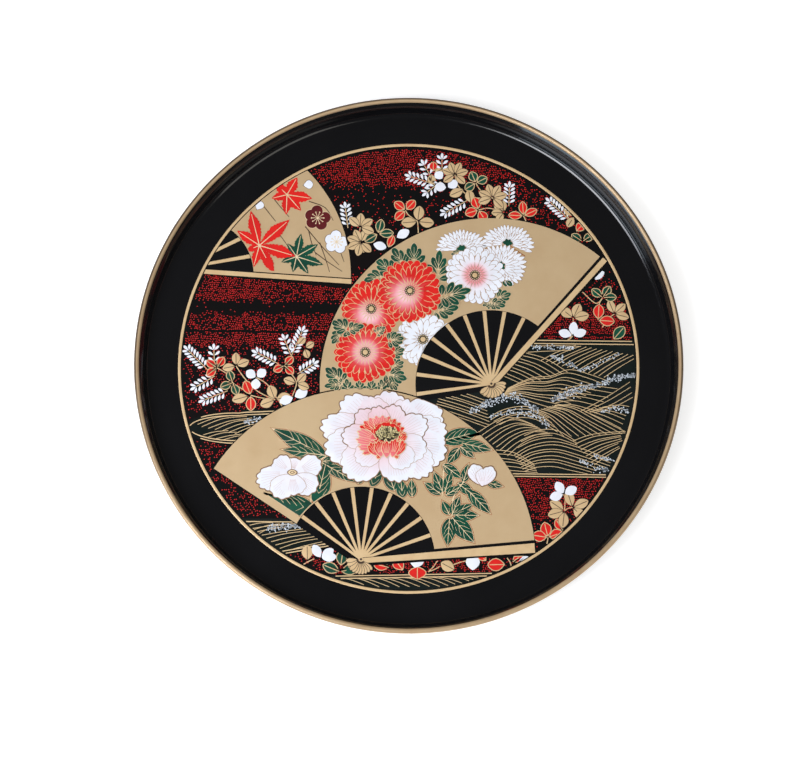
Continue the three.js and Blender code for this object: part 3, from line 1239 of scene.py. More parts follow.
@dataclass
class Water:
    """Dark coats of the sea and the streams, with gold wave lines and pale foam."""

    coat_pitch: float = 0.9
    coat_rise: float = 0.03
    swell_rise: float = 0.008
    line_width: float = 0.4
    line_height: float = 0.06
    edge_width: float = 0.6
    edge_gap: float = 1.6
    foam_height: float = 0.1
    level: float = GROUND
    draw: random.Random = field(default_factory=lambda: random.Random(5))

    def build(self) -> None:
        """Make the sea and the streams."""
        self._water("sea_panel", SEA_SWELLS, SEA_FOAM, self._sea_edges())
        self._water("stream_left", LEFT_SWELLS, STREAM_FOAM[:1], self._left_edges())
        self._water("stream_lower_left", LOWER_LEFT_SWELLS, STREAM_FOAM[1:],
                    self._lower_left_edges())
        self._water("stream_bottom", BOTTOM_SWELLS, (), self._bottom_edges())

    def _water(self, node: str, swells: Sequence[Swell], foam: Sequence[Foam],
               edges: Sequence[Sequence[Point]]) -> None:
        """Make one stretch of water.

        Args:
            node: The CAD node that it replaces.
            swells: Its wave lines, from the furthest back to the front.
            foam: Its foam.
            edges: The gold lines along its edges.
        """
        depth = WATERS[node]
        part = Picture(node, lambda x, y: min(depth(x, y), picture_depth(x, y)))
        self._coat(node, part.depth)
        self.level = GROUND + self.coat_rise
        inner = Picture(node, lambda x, y: min(depth(x, y) - self.edge_gap, picture_depth(x, y)))
        inner.reliefs = part.reliefs
        for swell in swells:
            self._swell(inner, swell)
        for spray in foam:
            self._foam(inner, spray)
        for edge in edges:
            part.line(LINE_GOLD, edge, self.edge_width, GROUND, max(self.level, BACKING) - 0.01)
        part.finish()

    def _coat(self, node: str, depth: Depth) -> None:
        """Make the dark coat of a stretch of water.

        Args:
            node: The CAD node that it replaces.
            depth: How far inside the water a point lies.
        """
        low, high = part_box(node)
        bm = bmesh.new()
        size = (Vector(high) - Vector(low)) / METRE / 2.0
        middle = (Vector(high) + Vector(low)) / METRE / 2.0
        bmesh.ops.create_grid(bm, x_segments=round(2 * size.x / self.coat_pitch) + 4,
                              y_segments=round(2 * size.y / self.coat_pitch) + 4, size=1.0)
        for vert in bm.verts:
            vert.co.x = middle.x + vert.co.x * (size.x + 2.0)
            vert.co.y = middle.y + vert.co.y * (size.y + 2.0)
        outside = [f for f in bm.faces if depth(*f.calc_center_median().xy) < -0.3]
        bmesh.ops.delete(bm, geom=outside, context="FACES")
        for vert in bm.verts:
            if vert.is_boundary:
                self._settle(vert, depth)
        bmesh.ops.dissolve_limit(bm, angle_limit=0.01, verts=bm.verts[:], edges=bm.edges[:])
        lift(bm, BEDDED, GROUND + self.coat_rise, 0.0)
        coat = Relief(f"{node}_coat", WATER)
        coat.add(bm)
        coat.finished(node)

    @staticmethod
    def _settle(vert: BMVert, depth: Depth) -> None:
        """Move an edge vertex onto the water's outline.

        Args:
            vert: The vertex.
            depth: How far inside the water a point lies.
        """
        step = 0.05
        for _ in range(4):
            x, y = vert.co.xy
            here = depth(x, y)
            slope = Vector((depth(x + step, y) - here, depth(x, y + step) - here)) / step
            if slope.length > 0.1:
                vert.co.xy -= slope * here / slope.length_squared

    def _swell(self, part: Picture, swell: Swell) -> None:
        """Lay a family of wave lines, on a coat that hides what is behind.

        Args:
            part: Where they go.
            swell: The family.
        """
        first = curve_through(swell.first)
        last = curve_through(swell.last)
        count = min(len(first), len(last))
        if swell.coat:
            self.level += self.swell_rise
            self._sheet(part, first, last)
        for i in range(swell.count):
            share = i / (swell.count - 1)
            bend = 0.35 * math.sin(2.4 * i)
            path = []
            for step in range(count):
                a = first[round(step * (len(first) - 1) / (count - 1))]
                b = last[round(step * (len(last) - 1) / (count - 1))]
                lift_by = bend * math.sin(math.pi * step / (count - 1))
                path.append((a[0] + (b[0] - a[0]) * share, a[1] + (b[1] - a[1]) * share + lift_by))
            part.line(LINE_GOLD, path, self.line_width, self.level - 0.005,
                      self.level + self.line_height, taper=0.8)

    def _sheet(self, part: Picture, first: Sequence[Point], last: Sequence[Point]) -> None:
        """Lay the dark coat between a swell's guide curves.

        Args:
            part: Where it goes.
            first: The first guide curve.
            last: The last one.
        """
        bm = bmesh.new()
        steps = len(first) - 1
        bmesh.ops.create_grid(bm, x_segments=steps, y_segments=8, size=1.0)
        for vert in bm.verts:
            i = round((vert.co.x + 1.0) / 2.0 * steps)
            j = round(i * (len(last) - 1) / steps)
            share = (vert.co.y + 1.0) / 2.0
            vert.co.xy = Vector(first[i]).lerp(Vector(last[j]), share)
        outside = [f for f in bm.faces if part.depth(*f.calc_center_median().xy) < 0.2]
        bmesh.ops.delete(bm, geom=outside, context="FACES")
        if bm.faces:
            lift(bm, GROUND, self.level, 0.0)
            part.relief(WATER).add(bm)
        else:
            bm.free()

    def _foam(self, part: Picture, foam: Foam) -> None:
        """Strew pale dots along a curve.

        Args:
            part: Where they go.
            foam: The curve, its width and the number of dots.
        """
        path = curve_through(foam.path, 12)
        for _ in range(foam.count):
            at = self.draw.randrange(len(path))
            share = at / (len(path) - 1)
            wide = foam.width * (0.35 + 0.65 * math.sin(math.pi * min(max(share, 0.08), 0.92)))
            x = path[at][0] + self.draw.uniform(-0.8, 0.8)
            y = path[at][1] + self.draw.gauss(0.0, wide / 3.2)
            size = self.draw.uniform(0.3, 0.5)
            if under_fans(x, y) < -0.6 and part.depth(x, y) > 0.5:
                part.plate(FOAM_GREY, round_shape(size), Spot(x, y), self.level,
                           self.level + self.foam_height, steps=6)

    @staticmethod
    def _sea_edges() -> list[list[Point]]:
        """List the double gold lines along the sea's upper and lower edges."""
        return [[(x, y) for x in range(54, 138)] for y in (16.5, 14.5, -65.9, -67.4)]

    @staticmethod
    def _left_edges() -> list[list[Point]]:
        """List the double gold lines round the left stream.

        Returns:
            The lines.
        """
        edges = []
        for inset in (0.5, 2.1):
            loop = [polar(1.0, turn) for turn in range(84, 281, 4)]
            arc = [(BEND_X + (BEND_WIDE - inset) * x, BEND_Y + (BEND_TALL - inset) * y)
                   for x, y in loop]
            top = [(x, -28.7 - inset + (x + 81.0) * 0.05) for x in range(-64, -99, -3)]
            bottom = [(x, -49.5 + inset) for x in range(-100, -66, 3)]
            edges.append(top + arc[1:] + bottom)
        return edges

    @staticmethod
    def _lower_left_edges() -> list[list[Point]]:
        """List the double gold lines along the lower left stream.

        Returns:
            The lines.
        """
        slope = math.tan(math.radians(LOWER_LEFT_SLOPE))
        low = [[(x, -117.6 + rise + (x + 80.0) * slope) for x in range(-92, -38, 2)]
               for rise in (0.3, 1.9)]
        return [[(x, y) for x in range(-110, -60, 2)] for y in (-95.3, -96.8)] + low

    @staticmethod
    def _bottom_edges() -> list[list[Point]]:
        """List the double gold lines along the bottom stream.

        Returns:
            The lines.
        """
        slope = math.tan(math.radians(BOTTOM_SLOPE))
        return [[(x, -129.2 - drop + (x + 45.0) * slope) for x in range(-60, 70, 3)]
                for drop in (0.1, 1.6)]


# ---- sprigs and sprays


class Tint(Enum):
    """Colours of a sprig's leaves."""

    GOLD = "gold"
    RED = "red"
    GREEN = "green"
    WHITE = "white"


@dataclass(frozen=True)
class Sprig:
    """Rounded leaves on a joint: where it is, its colour, each leaf's direction and its size."""

    x: float
    y: float
    colour: Tint
    turns: tuple[float, ...]
    length: float = 7.5
    width: float = 5.8


SPRIGS = tuple(Sprig(*row) for row in (
    # upper right of the maple fan, along the top
    (4.5, 90, Tint.GOLD, (83, -5, 186), 9.5, 7), (-3, 97, Tint.RED, (142, 48, 224), 8, 6),
    (-30.5, 86, Tint.GOLD, (88, 34, 138, -20), 8.4, 5.6),
    (-30, 76.5, Tint.GOLD, (66, 116, 160, 206, 258, 316), 8.2, 5.4),
    (-19.5, 82, Tint.GREEN, (78, 4, 212), 8.8, 5.8), (-23, 75.8, Tint.WHITE, (-16,), 8.2, 5.4),
    (-13.4, 73, Tint.RED, (68,), 8, 5), (-8.6, 79.5, Tint.WHITE, (32,), 8.6, 5.8),
    (12, 121, Tint.GOLD, (-80,), 7, 5.5), (13.7, 121.3, Tint.RED, (90,), 6.2, 5.6),
    (20, 124, Tint.GOLD, (210,), 5.5, 4.2), (19.6, 116.8, Tint.WHITE, (130,), 6, 5.8),
    (22.3, 111.6, Tint.WHITE, (172, 35), 6.8, 6),
    (27, 120, Tint.GOLD, (158, 112, 66, 18, -42, 214), 7.8, 5), (33, 111, Tint.GOLD, (206,), 9.5, 6.2),
    (39.8, 114.8, Tint.GREEN, (112, 28, 212), 7.2, 6),
    (50, 105.5, Tint.GOLD, (108, 60, 14, 156, 200, -45), 8.6, 5.4),
    (37, 101.5, Tint.GOLD, (100,), 8.5, 6.2), (41.6, 97.8, Tint.RED, (110, 198, -58), 8, 6.4),
    (57, 96.5, Tint.GOLD, (96, 140, 184, 236), 7, 5), (69, 94.4, Tint.RED, (94, 26, 178), 8.6, 5.4),
    (100, 94.5, Tint.GOLD, (140, 238), 7.5, 5.4), (100.8, 84.6, Tint.RED, (48,), 7.4, 6),
    (105, 78.6, Tint.GREEN, (146, 36), 7.4, 5.4),
    # right, between the guard and the sea
    (109.6, 55.2, Tint.WHITE, (27,), 9, 5.4), (117.3, 43.6, Tint.GREEN, (142, 58, 2), 7.8, 5.6),
    (99.4, 30.6, Tint.GOLD, (66, 142, 12), 9.2, 6.6), (114.4, 29.4, Tint.RED, (86, -4), 9.4, 6.8),
    (124.3, 33.4, Tint.GOLD, (112, 44, -14), 8.6, 5.6), (123.4, 17.2, Tint.GREEN, (50,), 10.2, 7),
    (99, 19.6, Tint.WHITE, (164, 84, 20), 8, 5.4),
    # left, between the maple fan and the left stream
    (-115.8, -2.8, Tint.RED, (146, 58, 220), 7.2, 5.4),
    (-104.2, -1.6, Tint.GOLD, (92, 24, 192), 7.8, 5.6),
    (-106, -12, Tint.GREEN, (110, 202, -68), 7.4, 5.4), (-96, -20, Tint.GOLD, (196,), 10, 6.4),
    (-95, -19.6, Tint.RED, (112, 272), 9, 6.4), (-80.2, -22.2, Tint.GOLD, (112, 16, 202), 9, 6.6),
    (-91.8, -8.6, Tint.WHITE, (148, 42, 266), 6.6, 5.8), (-69, -20.5, Tint.WHITE, (28, 200), 8.4, 6.2),
    (-75, -1, Tint.RED, (48, 208, -42), 6.8, 5.2), (-67.6, -12, Tint.GOLD, (160, 48, -20), 7.6, 5.6),
    (-67.5, 11.5, Tint.GOLD, (48,), 6.4, 4.8), (-63, 10, Tint.GOLD, (32, -70), 6, 4.8),
    # right of the peony fan
    (94.2, -88.2, Tint.GOLD, (146, 196, 264), 9.8, 6.6), (99, -86, Tint.GOLD, (108, 24, -42), 9.8, 6.4),
    (84.4, -104.4, Tint.RED, (104, 172, 20), 8.8, 7), (93.6, -100.6, Tint.RED, (122,), 8, 5.8),
    (93.8, -78, Tint.WHITE, (122, 28, 196), 8, 5.8),
    # along the bottom
    (-39.2, -123.4, Tint.GREEN, (82,), 9.6, 7.2), (-39.4, -126.6, Tint.GREEN, (158, 14), 10.6, 6.8),
    (-59, -120.4, Tint.GOLD, (92,), 9.2, 7.2), (-51, -118.6, Tint.WHITE, (8, 38, 120), 8.6, 5.6),
    (-9.8, -123.8, Tint.RED, (166,), 9.6, 6.4), (-1.6, -125.6, Tint.RED, (128,), 9, 7),
    (5.2, -124.4, Tint.WHITE, (80,), 8.6, 8.6), (6.6, -131.5, Tint.RED, (90,), 7.8, 11),
    (29.4, -125, Tint.GOLD, (152,), 9.4, 7.2), (39.6, -125.4, Tint.WHITE, (90,), 9.6, 8.4),
    (59.4, -121, Tint.RED, (182,), 10.4, 8), (48, -119.4, Tint.RED, (136,), 7, 5),
    (62.8, -119.8, Tint.RED, (36,), 8, 5.6), (66, -121.6, Tint.WHITE, (38,), 8, 5),
))
STEMS = (
    ((-30.5, 86), (-31, 78), (-28, 70)), ((4.5, 90), (4.8, 86), (5, 82)),
    ((-3, 97), (-1, 94), (4.5, 90)), ((27, 120), (29, 113), (37, 106), (50, 105.5)),
    ((39.8, 114.8), (43, 110), (50, 105.5), (58, 98)), ((41.6, 97.8), (48, 99), (57, 96.5)),
    ((69, 94.4), (71, 90), (72, 86)), ((98, 91), (92, 100), (86, 104)),
    ((117.3, 43.6), (115, 39), (114.4, 29.4)), ((117.3, 43.6), (113, 40), (105, 47)),
    ((99.4, 30.6), (99, 24), (97.5, 18)), ((99, 19.6), (97.5, 17.6), (96, 17.2)),
    ((124.3, 33.4), (120, 30), (117, 25)), ((-115.8, -2.8), (-109, -7), (-106, -12), (-98, -17)),
    ((-104.2, -1.6), (-99, -9), (-91, -17), (-80.2, -22.2)),
    ((-91.8, -8.6), (-86, -12), (-82, -17), (-76, -26)),
    ((-75, -1), (-70, -7), (-67.6, -12), (-70, -20)), ((-95, -19.6), (-89, -21), (-80.2, -22.2)),
    ((94.2, -88.2), (94.5, -82), (93.8, -78)), ((94.2, -88.2), (96.5, -86.5), (99, -86)),
    ((84.4, -104.4), (84, -107), (83.5, -109)), ((-64, -124), (-58, -120.4), (-55, -119)),
    ((13, -126), (16, -123), (19, -118.5)), ((13, -126), (17, -124.4), (20, -122.5)),
    ((28, -121.5), (32, -120), (36, -119)), ((60, -117), (62, -120), (62.5, -123)),
)
SPRAYS = (
    ((-4.6, 120), (14.8, 113.7)), ((19, 132), (19, 122)), ((7, 128), (12, 119)),
    ((7.7, 106.7), (18.3, 115.5)), ((17.4, 93.5), (35, 104)), ((60.5, 116), (60, 100.5)),
    ((81.7, 106.8), (97.5, 91.8)), ((-40.2, 102), (-38, 85.5)), ((-137, 11.5), (-121.5, -4)),
    ((-118, 10.7), (-117.4, 0)), ((-131.5, -16.8), (-117, -8)), ((-127, -24.5), (-109, -17)),
    ((-95.5, 8.6), (-78.5, 0)), ((-62.8, 25), (-71, 5)), ((-76.5, 18), (-71, 5)),
    ((-54.7, 1.9), (-67, -6)),
)


def open_ground(x: float, y: float) -> float:
    """Say how far inside the picture and off the fans a point lies."""
    return min(picture_depth(x, y), -under_fans(x, y) + 0.3)


@dataclass
class Sprigs:
    """Three-leaved sprigs, their stems, and white sprays of small leaflets."""

    stem_width: float = 0.6
    stem_height: float = 0.06
    overlap: float = 0.05
    leaf_height: float = 0.11
    vein_width: float = 0.5
    spray_stem: float = 0.5
    leaflet: float = 4.2
    leaflet_width: float = 1.75
    leaflet_height: float = 0.1
    pair_gap: float = 2.5

    def build(self) -> None:
        """Make them all, each in its own finish."""
        part = Picture("sprigs", open_ground)
        for path in STEMS:
            part.line(LINE_GOLD, curve_through(path), self.stem_width, GROUND,
                      GROUND + self.stem_height)
        for tip, base in SPRAYS:
            self._spray(part, tip, base)
        for i, sprig in enumerate(SPRIGS):
            for j, turn in enumerate(sprig.turns):
                self._leaf(part, sprig, turn, i % 4 * 0.012 + j * self.overlap)
        part.finish()

    def _leaf(self, part: Picture, sprig: Sprig, turn: float, rise: float) -> None:
        """Lay one leaf of a sprig, with its vein.

        Args:
            part: Where it goes.
            sprig: The sprig.
            turn: The leaf's direction.
            rise: How much higher it lies than the ground's coat.
        """
        spot = Spot(sprig.x, sprig.y, turn).ahead(0.7)
        shape = blade(sprig.length, sprig.width, 0.52, 0.75, 0.62)
        low = GROUND + rise
        vein = [polar(sprig.length * share, turn, (spot.x, spot.y)) for share in (0.0, 0.3, 0.6, 0.88)]
        if sprig.colour is Tint.GOLD:
            part.outlined(LINE_GOLD, TWIG_BROWN, shape, spot, low, low + 0.1, 0.24, 18)
            part.line(TWIG_BROWN, vein, 0.42, low + 0.08, low + 0.12)
        elif sprig.colour is Tint.WHITE:
            part.plate(WHITE, shape, spot, low, low + self.leaf_height, 18, shoulder=0.5)
        else:
            enamel = RED if sprig.colour is Tint.RED else GREEN
            part.outlined(enamel, LINE_GOLD, shape, spot, low, low + self.leaf_height, 0.5, 18)
            part.line(LINE_GOLD, vein, self.vein_width, low + 0.09, low + 0.135)

    def _spray(self, part: Picture, tip: Point, base: Point) -> None:
        """Lay a spray of white leaflets in pairs on a thin stem.

        Args:
            part: Where it goes.
            tip: The end of the last leaflet.
            base: The foot of the stem.
        """
        length = math.dist(tip, base)
        turn = math.degrees(math.atan2(tip[1] - base[1], tip[0] - base[0]))
        stem = [polar(length * share, turn, base) for share in (0.0, 0.25, 0.5, 0.75)]
        part.line(LINE_GOLD, stem, self.spray_stem, GROUND, GROUND + 0.07)
        top = GROUND + self.leaflet_height
        part.plate(WHITE, blade(self.leaflet, 1.9, 0.6, 0.9, 0.75),
                   Spot(*polar(length * 0.76, turn, base), turn), GROUND, top, 10, shoulder=0.2)
        pairs = max(round(length * 0.78 / self.pair_gap), 2)
        small = blade(self.leaflet, self.leaflet_width, 0.62, 0.9, 0.7)
        for i in range(pairs):
            share = 0.12 + 0.62 * i / (pairs - 1)
            x, y = polar(length * share, turn, base)
            size = 1.0 - 0.22 * abs(share - 0.4)
            for side in (-1, 1):
                spot = Spot(x, y, turn + side * (58 - 12 * share), size).ahead(0.35)
                part.plate(WHITE, small, spot, GROUND + 0.01, top, 10, shoulder=0.2)


# ---- flowers on the fans


def flush_round(x: float, y: float, near: float, far: float, most: float) -> Tone:
    """Make a tone that is strongest at a centre and fades outwards.

    Args:
        x: The centre across.
        y: The centre up.
        near: Radius up to which it is strongest.
        far: Radius at which it ends.
        most: The strongest value.

    Returns:
        The tone.
    """

    def tone(px: float, py: float) -> float:
        """Give the tone at a point.

        Args:
            px: Point across.
            py: Point up.

        Returns:
            The tone, from 0 to the strongest.
        """
        share = (far - math.hypot(px - x, py - y)) / (far - near)
        share = min(max(share, 0.0), 1.0)
        return most * share * share * (3.0 - 2.0 * share)

    return tone


def leaf_depth(area: FanArea, inner: float, start: float, end: float, offsets: Point) -> Depth:
    """Make the region of a fan's gold leaf.

    Args:
        area: The fan's outline.
        inner: Radius of the leaf's inner arc.
        start: Direction of its lower edge from the pivot.
        end: Direction of its upper edge.
        offsets: Distance of the lower and the upper edge from their rays.

    Returns:
        How far inside the leaf a point lies.
    """

    def depth(x: float, y: float) -> float:
        """Say how far inside the leaf a point lies.

        Args:
            x: Point across.
            y: Point up.

        Returns:
            The distance, negative outside.
        """
        reach = math.dist((x, y), area.leaf_centre)
        return min(area.outer - reach, reach - inner, picture_depth(x, y),
                   beside(area.pivot, start, x, y) - offsets[0],
                   -beside(area.pivot, end, x, y) - offsets[1])

    return depth


class Foliage(Enum):
    """Kinds of leaf on the fans."""

    LOBED = "lobed"
    LONG = "long"


@dataclass(frozen=True)
class Leaf:
    """A green leaf on a fan, from its tip to its base."""

    tip: Point
    base: Point
    width: float
    kind: Foliage = Foliage.LONG

    def lay(self, part: Picture, low: float) -> None:
        """Lay the leaf with its veins.

        Args:
            part: Where it goes.
            low: Height of its underside.
        """
        length = math.dist(self.tip, self.base)
        turn = math.degrees(math.atan2(self.tip[1] - self.base[1], self.tip[0] - self.base[0]))
        spot = Spot(*self.base, turn)
        if self.kind is Foliage.LONG:
            self._long(part, spot, length, low)
        else:
            self._lobed(part, spot, length, low)

    def _long(self, part: Picture, spot: Spot, length: float, low: float) -> None:
        """Lay a pointed leaf with a midrib and slanting side veins.

        Args:
            part: Where it goes.
            spot: Its base and direction.
            length: From base to tip.
            low: Height of its underside.
        """
        shape = blade(length, self.width, 0.4, 0.75, 1.1)
        part.plate(RUST, blade(length + 1.0, self.width + 0.8, 0.4, 0.75, 1.05),
                   spot.ahead(-0.4), LEAF, low + 0.02, 24)
        part.plate(CREAM, shape, spot, low, low + 0.05, 24)
        part.plate(GREEN, shape, spot, low, low + 0.09, 24, shrink=0.22, shoulder=0.25)
        top = low + 0.12
        rib = [polar(length * share, spot.turn, self.base) for share in (0.0, 0.35, 0.7, 0.96)]
        part.line(CREAM, rib, 0.5, low + 0.06, top, taper=0.5)
        pairs = max(round(length / 7.0), 1)
        for i in range(pairs):
            start = polar(length * (0.1 + 0.6 * i / pairs), spot.turn, self.base)
            reach = min(self.width * 0.8, length * 0.32)
            for side in (-1, 1):
                vein = [start, polar(reach * 0.5, spot.turn + side * 38, start),
                        polar(reach, spot.turn + side * 29, start)]
                part.line(CREAM, vein, 0.34, low + 0.06, top - 0.01, taper=0.6)

    def _lobed(self, part: Picture, spot: Spot, length: float, low: float) -> None:
        """Lay a leaf of narrow lobes along a midrib, each edged in gold.

        Args:
            part: Where it goes.
            spot: Its base and direction.
            length: From base to tip.
            low: Height of its underside.
        """
        lobes = ((-0.06, 74, 0.5), (-0.06, -74, 0.5), (0.1, 48, 0.62), (0.1, -48, 0.62),
                 (0.28, 27, 0.6), (0.28, -27, 0.6), (0.42, 0, 0.62))
        for i, (at, turn, share) in enumerate(lobes):
            reach = share * (length if turn == 0 else (length + self.width) / 2.0)
            shape = blade(reach, min(reach * 0.56, 4.6), 0.6, 0.85, 0.6)
            level = low + i * 0.04
            place = spot.ahead(length * at, turn)
            part.outlined(GREEN, CREAM, shape, place, level, level + 0.08, 0.24, 14)
            tip = place.ahead(reach * 0.7)
            part.line(CREAM, [(place.x, place.y), (tip.x, tip.y)], 0.3, level + 0.06,
                      level + 0.11, taper=0.5)




@dataclass(frozen=True)
class Bloom:
    """A round or half open chrysanthemum.

    The petals fan out between the two directions, a full turn for a round flower, and reach
    to an oval of the given radius and height.
    """

    x: float
    y: float
    radius: float
    finish: Finish
    deck: int
    flush: float = 0.0
    start: float = 0.0
    end: float = 360.0
    height: float = 0.0
    petals: int = 24
    lean: Point = (0.0, 0.0)

    @property
    def full(self) -> bool:
        """Say whether the flower is a round one."""
        return self.end - self.start >= 360.0

    def reach(self, degrees: float) -> float:
        """Give the flower's radius in a direction.

        Args:
            degrees: The direction.

        Returns:
            The radius.
        """
        angle = math.radians(degrees)
        tall = self.height or self.radius
        return 1.0 / math.hypot(math.cos(angle) / self.radius, math.sin(angle) / tall)

    def lay(self, part: Picture) -> None:
        """Lay the flower on its fan.

        Args:
            part: Where it goes.
        """
        low = LEAF + 0.1 + self.deck * 0.13
        red = self.finish is RED
        edge = LINE_GOLD if red else BLUSH_GOLD
        tone = flush_round(self.x + self.lean[0], self.y + self.lean[1], self.radius * 0.12,
                           self.radius * 0.56, self.flush)
        if self.full:
            spot = Spot(self.x, self.y, 4.0)
            bed = round_shape(self.radius * 0.9, self.petals, 0.07)
            part.plate(edge, bed, spot, LEAF, low + 0.02, 72)
            part.plate(self.finish, round_shape(self.radius * 0.3), spot, LEAF, low + 0.05, 24,
                       tone=tone)
            rows = ((0.72, 1.0, 1.0, 0.0), (0.5, 0.93, 0.86, 0.5), (0.15, 0.78, 0.82, 0.0))
        else:
            rows = ((0.4, 1.0, 1.2, 0.0), (0.2, 0.8, 1.1, 0.5), (0.04, 0.6, 1.0, 0.0))
        for row, (root, tip, share, shift) in enumerate(rows):
            count = max(round(self.petals * share), 3)
            pitch = (self.end - self.start) / count
            for i in range(count):
                turn = self.start + (i + 0.5 + (shift if self.full else 0.0)) * pitch
                wobble = math.sin(5.0 * i + 3.0 * row + self.x)
                far = self.reach(turn) * (tip + 0.03 * wobble)
                near = self.reach(turn) * root
                belly = near + (far - near) * 0.66
                width = math.radians(pitch) * belly * (1.06 if self.full else 1.15)
                spot = Spot(*polar(near, turn, (self.x, self.y)), turn + 1.5 * wobble)
                shape = blade(far - near, width, 0.62, 0.85, 0.62)
                level = low + row * 0.03 + (i % 2) * 0.008
                part.outlined(self.finish, edge, shape, spot, level, level + 0.055,
                              0.3 if red else 0.24, 14, tone)
        if self.full:
            self._eye(part, low + 0.14)
        else:
            self._calyx(part, low + 0.13)

    def _eye(self, part: Picture, low: float) -> None:
        """Lay the dark ring, its gold beads and the gold button.

        Args:
            part: Where it goes.
            low: Height of its underside.
        """
        spot = Spot(self.x, self.y)
        part.plate(EYE_BROWN, round_shape(3.3, 12, 0.12), spot, low - 0.08, low, 48)
        for i in range(12):
            at = polar(2.55, 30.0 * i, (self.x, self.y))
            part.plate(CREAM, round_shape(0.36), Spot(*at), low - 0.02, low + 0.05, 8)
        part.plate(LINE_GOLD, round_shape(1.55), spot, low - 0.02, low + 0.09, 20, shoulder=0.5)

    def _calyx(self, part: Picture, low: float) -> None:
        """Lay the green calyx at the flower's base.

        Args:
            part: Where it goes.
            low: Height of its underside.
        """
        middle = (self.start + self.end) / 2.0
        for turn in (-75, -25, 25, 75):
            part.plate(GREEN, blade(3.4, 2.2, 0.5, 0.8, 1.1), Spot(self.x, self.y, middle + turn),
                       low - 0.05, low + 0.04, 12, shoulder=0.25)
        part.plate(GREEN, round_shape(1.5), Spot(self.x, self.y), low - 0.05, low + 0.06, 12)



LOBED = Foliage.LOBED
UPPER_LEAVES = tuple(Leaf(*row) for row in (
    ((36.8, 47.2), (20.5, 43), 15, LOBED), ((-47, 26.5), (-36.5, 21.5), 11, LOBED),
    ((-27.5, 24), (-37.5, 21.5), 7, LOBED), ((-14.5, 23.5), (-19.5, 19.5), 6, LOBED),
    ((-3.2, 16.6), (-12, 15), 12, LOBED),
))
CHRYSANTHEMUM_LEAVES = tuple(Leaf(*row) for row in (
    ((2.5, 76), (2.5, 61), 15, LOBED), ((-10.5, 73), (-3, 61), 12, LOBED),
    ((-20.5, 66), (-10, 57), 12, LOBED), ((-27.5, 52.5), (-16, 55), 12, LOBED),
    ((18, 71.5), (17, 54.5), 14, LOBED), ((36.8, 47.2), (19.5, 42.5), 15, LOBED),
    ((29.6, 36.4), (16, 34), 12, LOBED), ((-47, 26.5), (-36, 21), 11, LOBED),
    ((-28, 24), (-37.5, 21), 8, LOBED), ((-46.5, 13), (-40, 20), 11, LOBED),
    ((-2.8, 16.8), (-13.5, 15), 12, LOBED), ((-14.5, 23.5), (-21, 20), 7, LOBED),
    ((-2.8, 10), (-11, 6.5), 10, LOBED), ((-3, 2), (-10.5, -1.5), 10, LOBED),
    ((-1.2, -8.5), (-13, -5.5), 13, LOBED), ((-7, -15.5), (-11.5, -8.5), 9, LOBED),
    ((-50, -2.5), (-40.5, -10), 12, LOBED), ((-50.5, -13.6), (-40.5, -12), 7, LOBED),
    ((-37.5, -9), (-36, -17.5), 8, LOBED), ((-29.5, -9), (-29, -17.5), 8, LOBED),
    ((-22, -9), (-22.5, -17.5), 8, LOBED), ((-16.5, -9), (-16, -16.5), 7, LOBED),
    ((62.2, 50.2), (54.5, 57), 10, LOBED), ((61.5, 45.2), (52, 42), 11, LOBED),
    ((58, 37.4), (48.5, 39.5), 8, LOBED), ((44.5, 37.4), (50.5, 40.5), 6, LOBED),
    ((25, 69.5), (31, 70.5), 6, LOBED),
))
BLOOMS = (
    Bloom(31.6, 72.6, 16.4, WHITE, 0, start=-6, end=186, height=12.8, petals=15),
    Bloom(59.4, 76.6, 16.4, WHITE, 0, start=-24, end=190, height=12.0, petals=17),
    Bloom(54.9, 62.3, 16.4, WHITE, 1, start=-72, end=170, height=14.0, petals=18),
    Bloom(39.6, 56.5, 18.2, WHITE, 2, flush=1.0, petals=25),
    Bloom(8.5, 16.2, 17.2, WHITE, 0, petals=20),
    Bloom(-23.1, 34.8, 18.9, RED, 1, flush=0.95, petals=25, lean=(-1.2, -3.6)),
    Bloom(-26.3, 7.7, 18.9, RED, 2, flush=0.95, petals=25),
    Bloom(0.2, 46.3, 19.8, RED, 3, flush=0.95, petals=26, lean=(-2.4, -2.2)),
)


@dataclass
class ChrysanthemumFan:
    """Chrysanthemums and their leaves on the middle fan."""

    inner: float = 46.1
    start: float = 49.5
    end: float = 190.5
    edges: Point = (2.4, 3.2)
    stem_width: float = 0.6
    upper_rise: float = 0.66

    def build(self) -> None:
        """Lay leaves, stems and flowers."""
        depth = leaf_depth(CHRYSANTHEMUM_AREA, self.inner, self.start, self.end, self.edges)

        def clear(x: float, y: float) -> float:
            """Say how far inside the leaf and clear of the near fan a point lies."""
            return min(depth(x, y), -PEONY_AREA.depth(x, y))

        part = Picture("chrysanthemums", clear)
        for leaf in CHRYSANTHEMUM_LEAVES:
            leaf.lay(part, LEAF)
        for path in (((70, 69), (62, 74.5), (59.7, 77.6)), ((46, 75.5), (38, 75.5), (30.6, 73.2)),
                     ((63, 54), (58, 58), (54.9, 62.3))):
            part.line(RUST, curve_through(path), self.stem_width, LEAF, LEAF + 0.06)
        for bloom in BLOOMS:
            bloom.lay(part)
        for leaf in UPPER_LEAVES:
            leaf.lay(part, LEAF + self.upper_rise)
        part.finish()




@dataclass(frozen=True)
class Petal:
    """A broad ruffled petal: root, direction, length, width and number of scallops."""

    x: float
    y: float
    turn: float
    length: float
    width: float
    waves: int = 14
    depth: float = 0.07


def between(root: Point, tip: Point, width: float, waves: int = 8, depth: float = 0.1) -> Petal:
    """Give the petal that reaches from a root to a tip."""
    turn = math.degrees(math.atan2(tip[1] - root[1], tip[0] - root[0]))
    return Petal(root[0], root[1], turn, math.dist(root, tip), width, waves, depth)


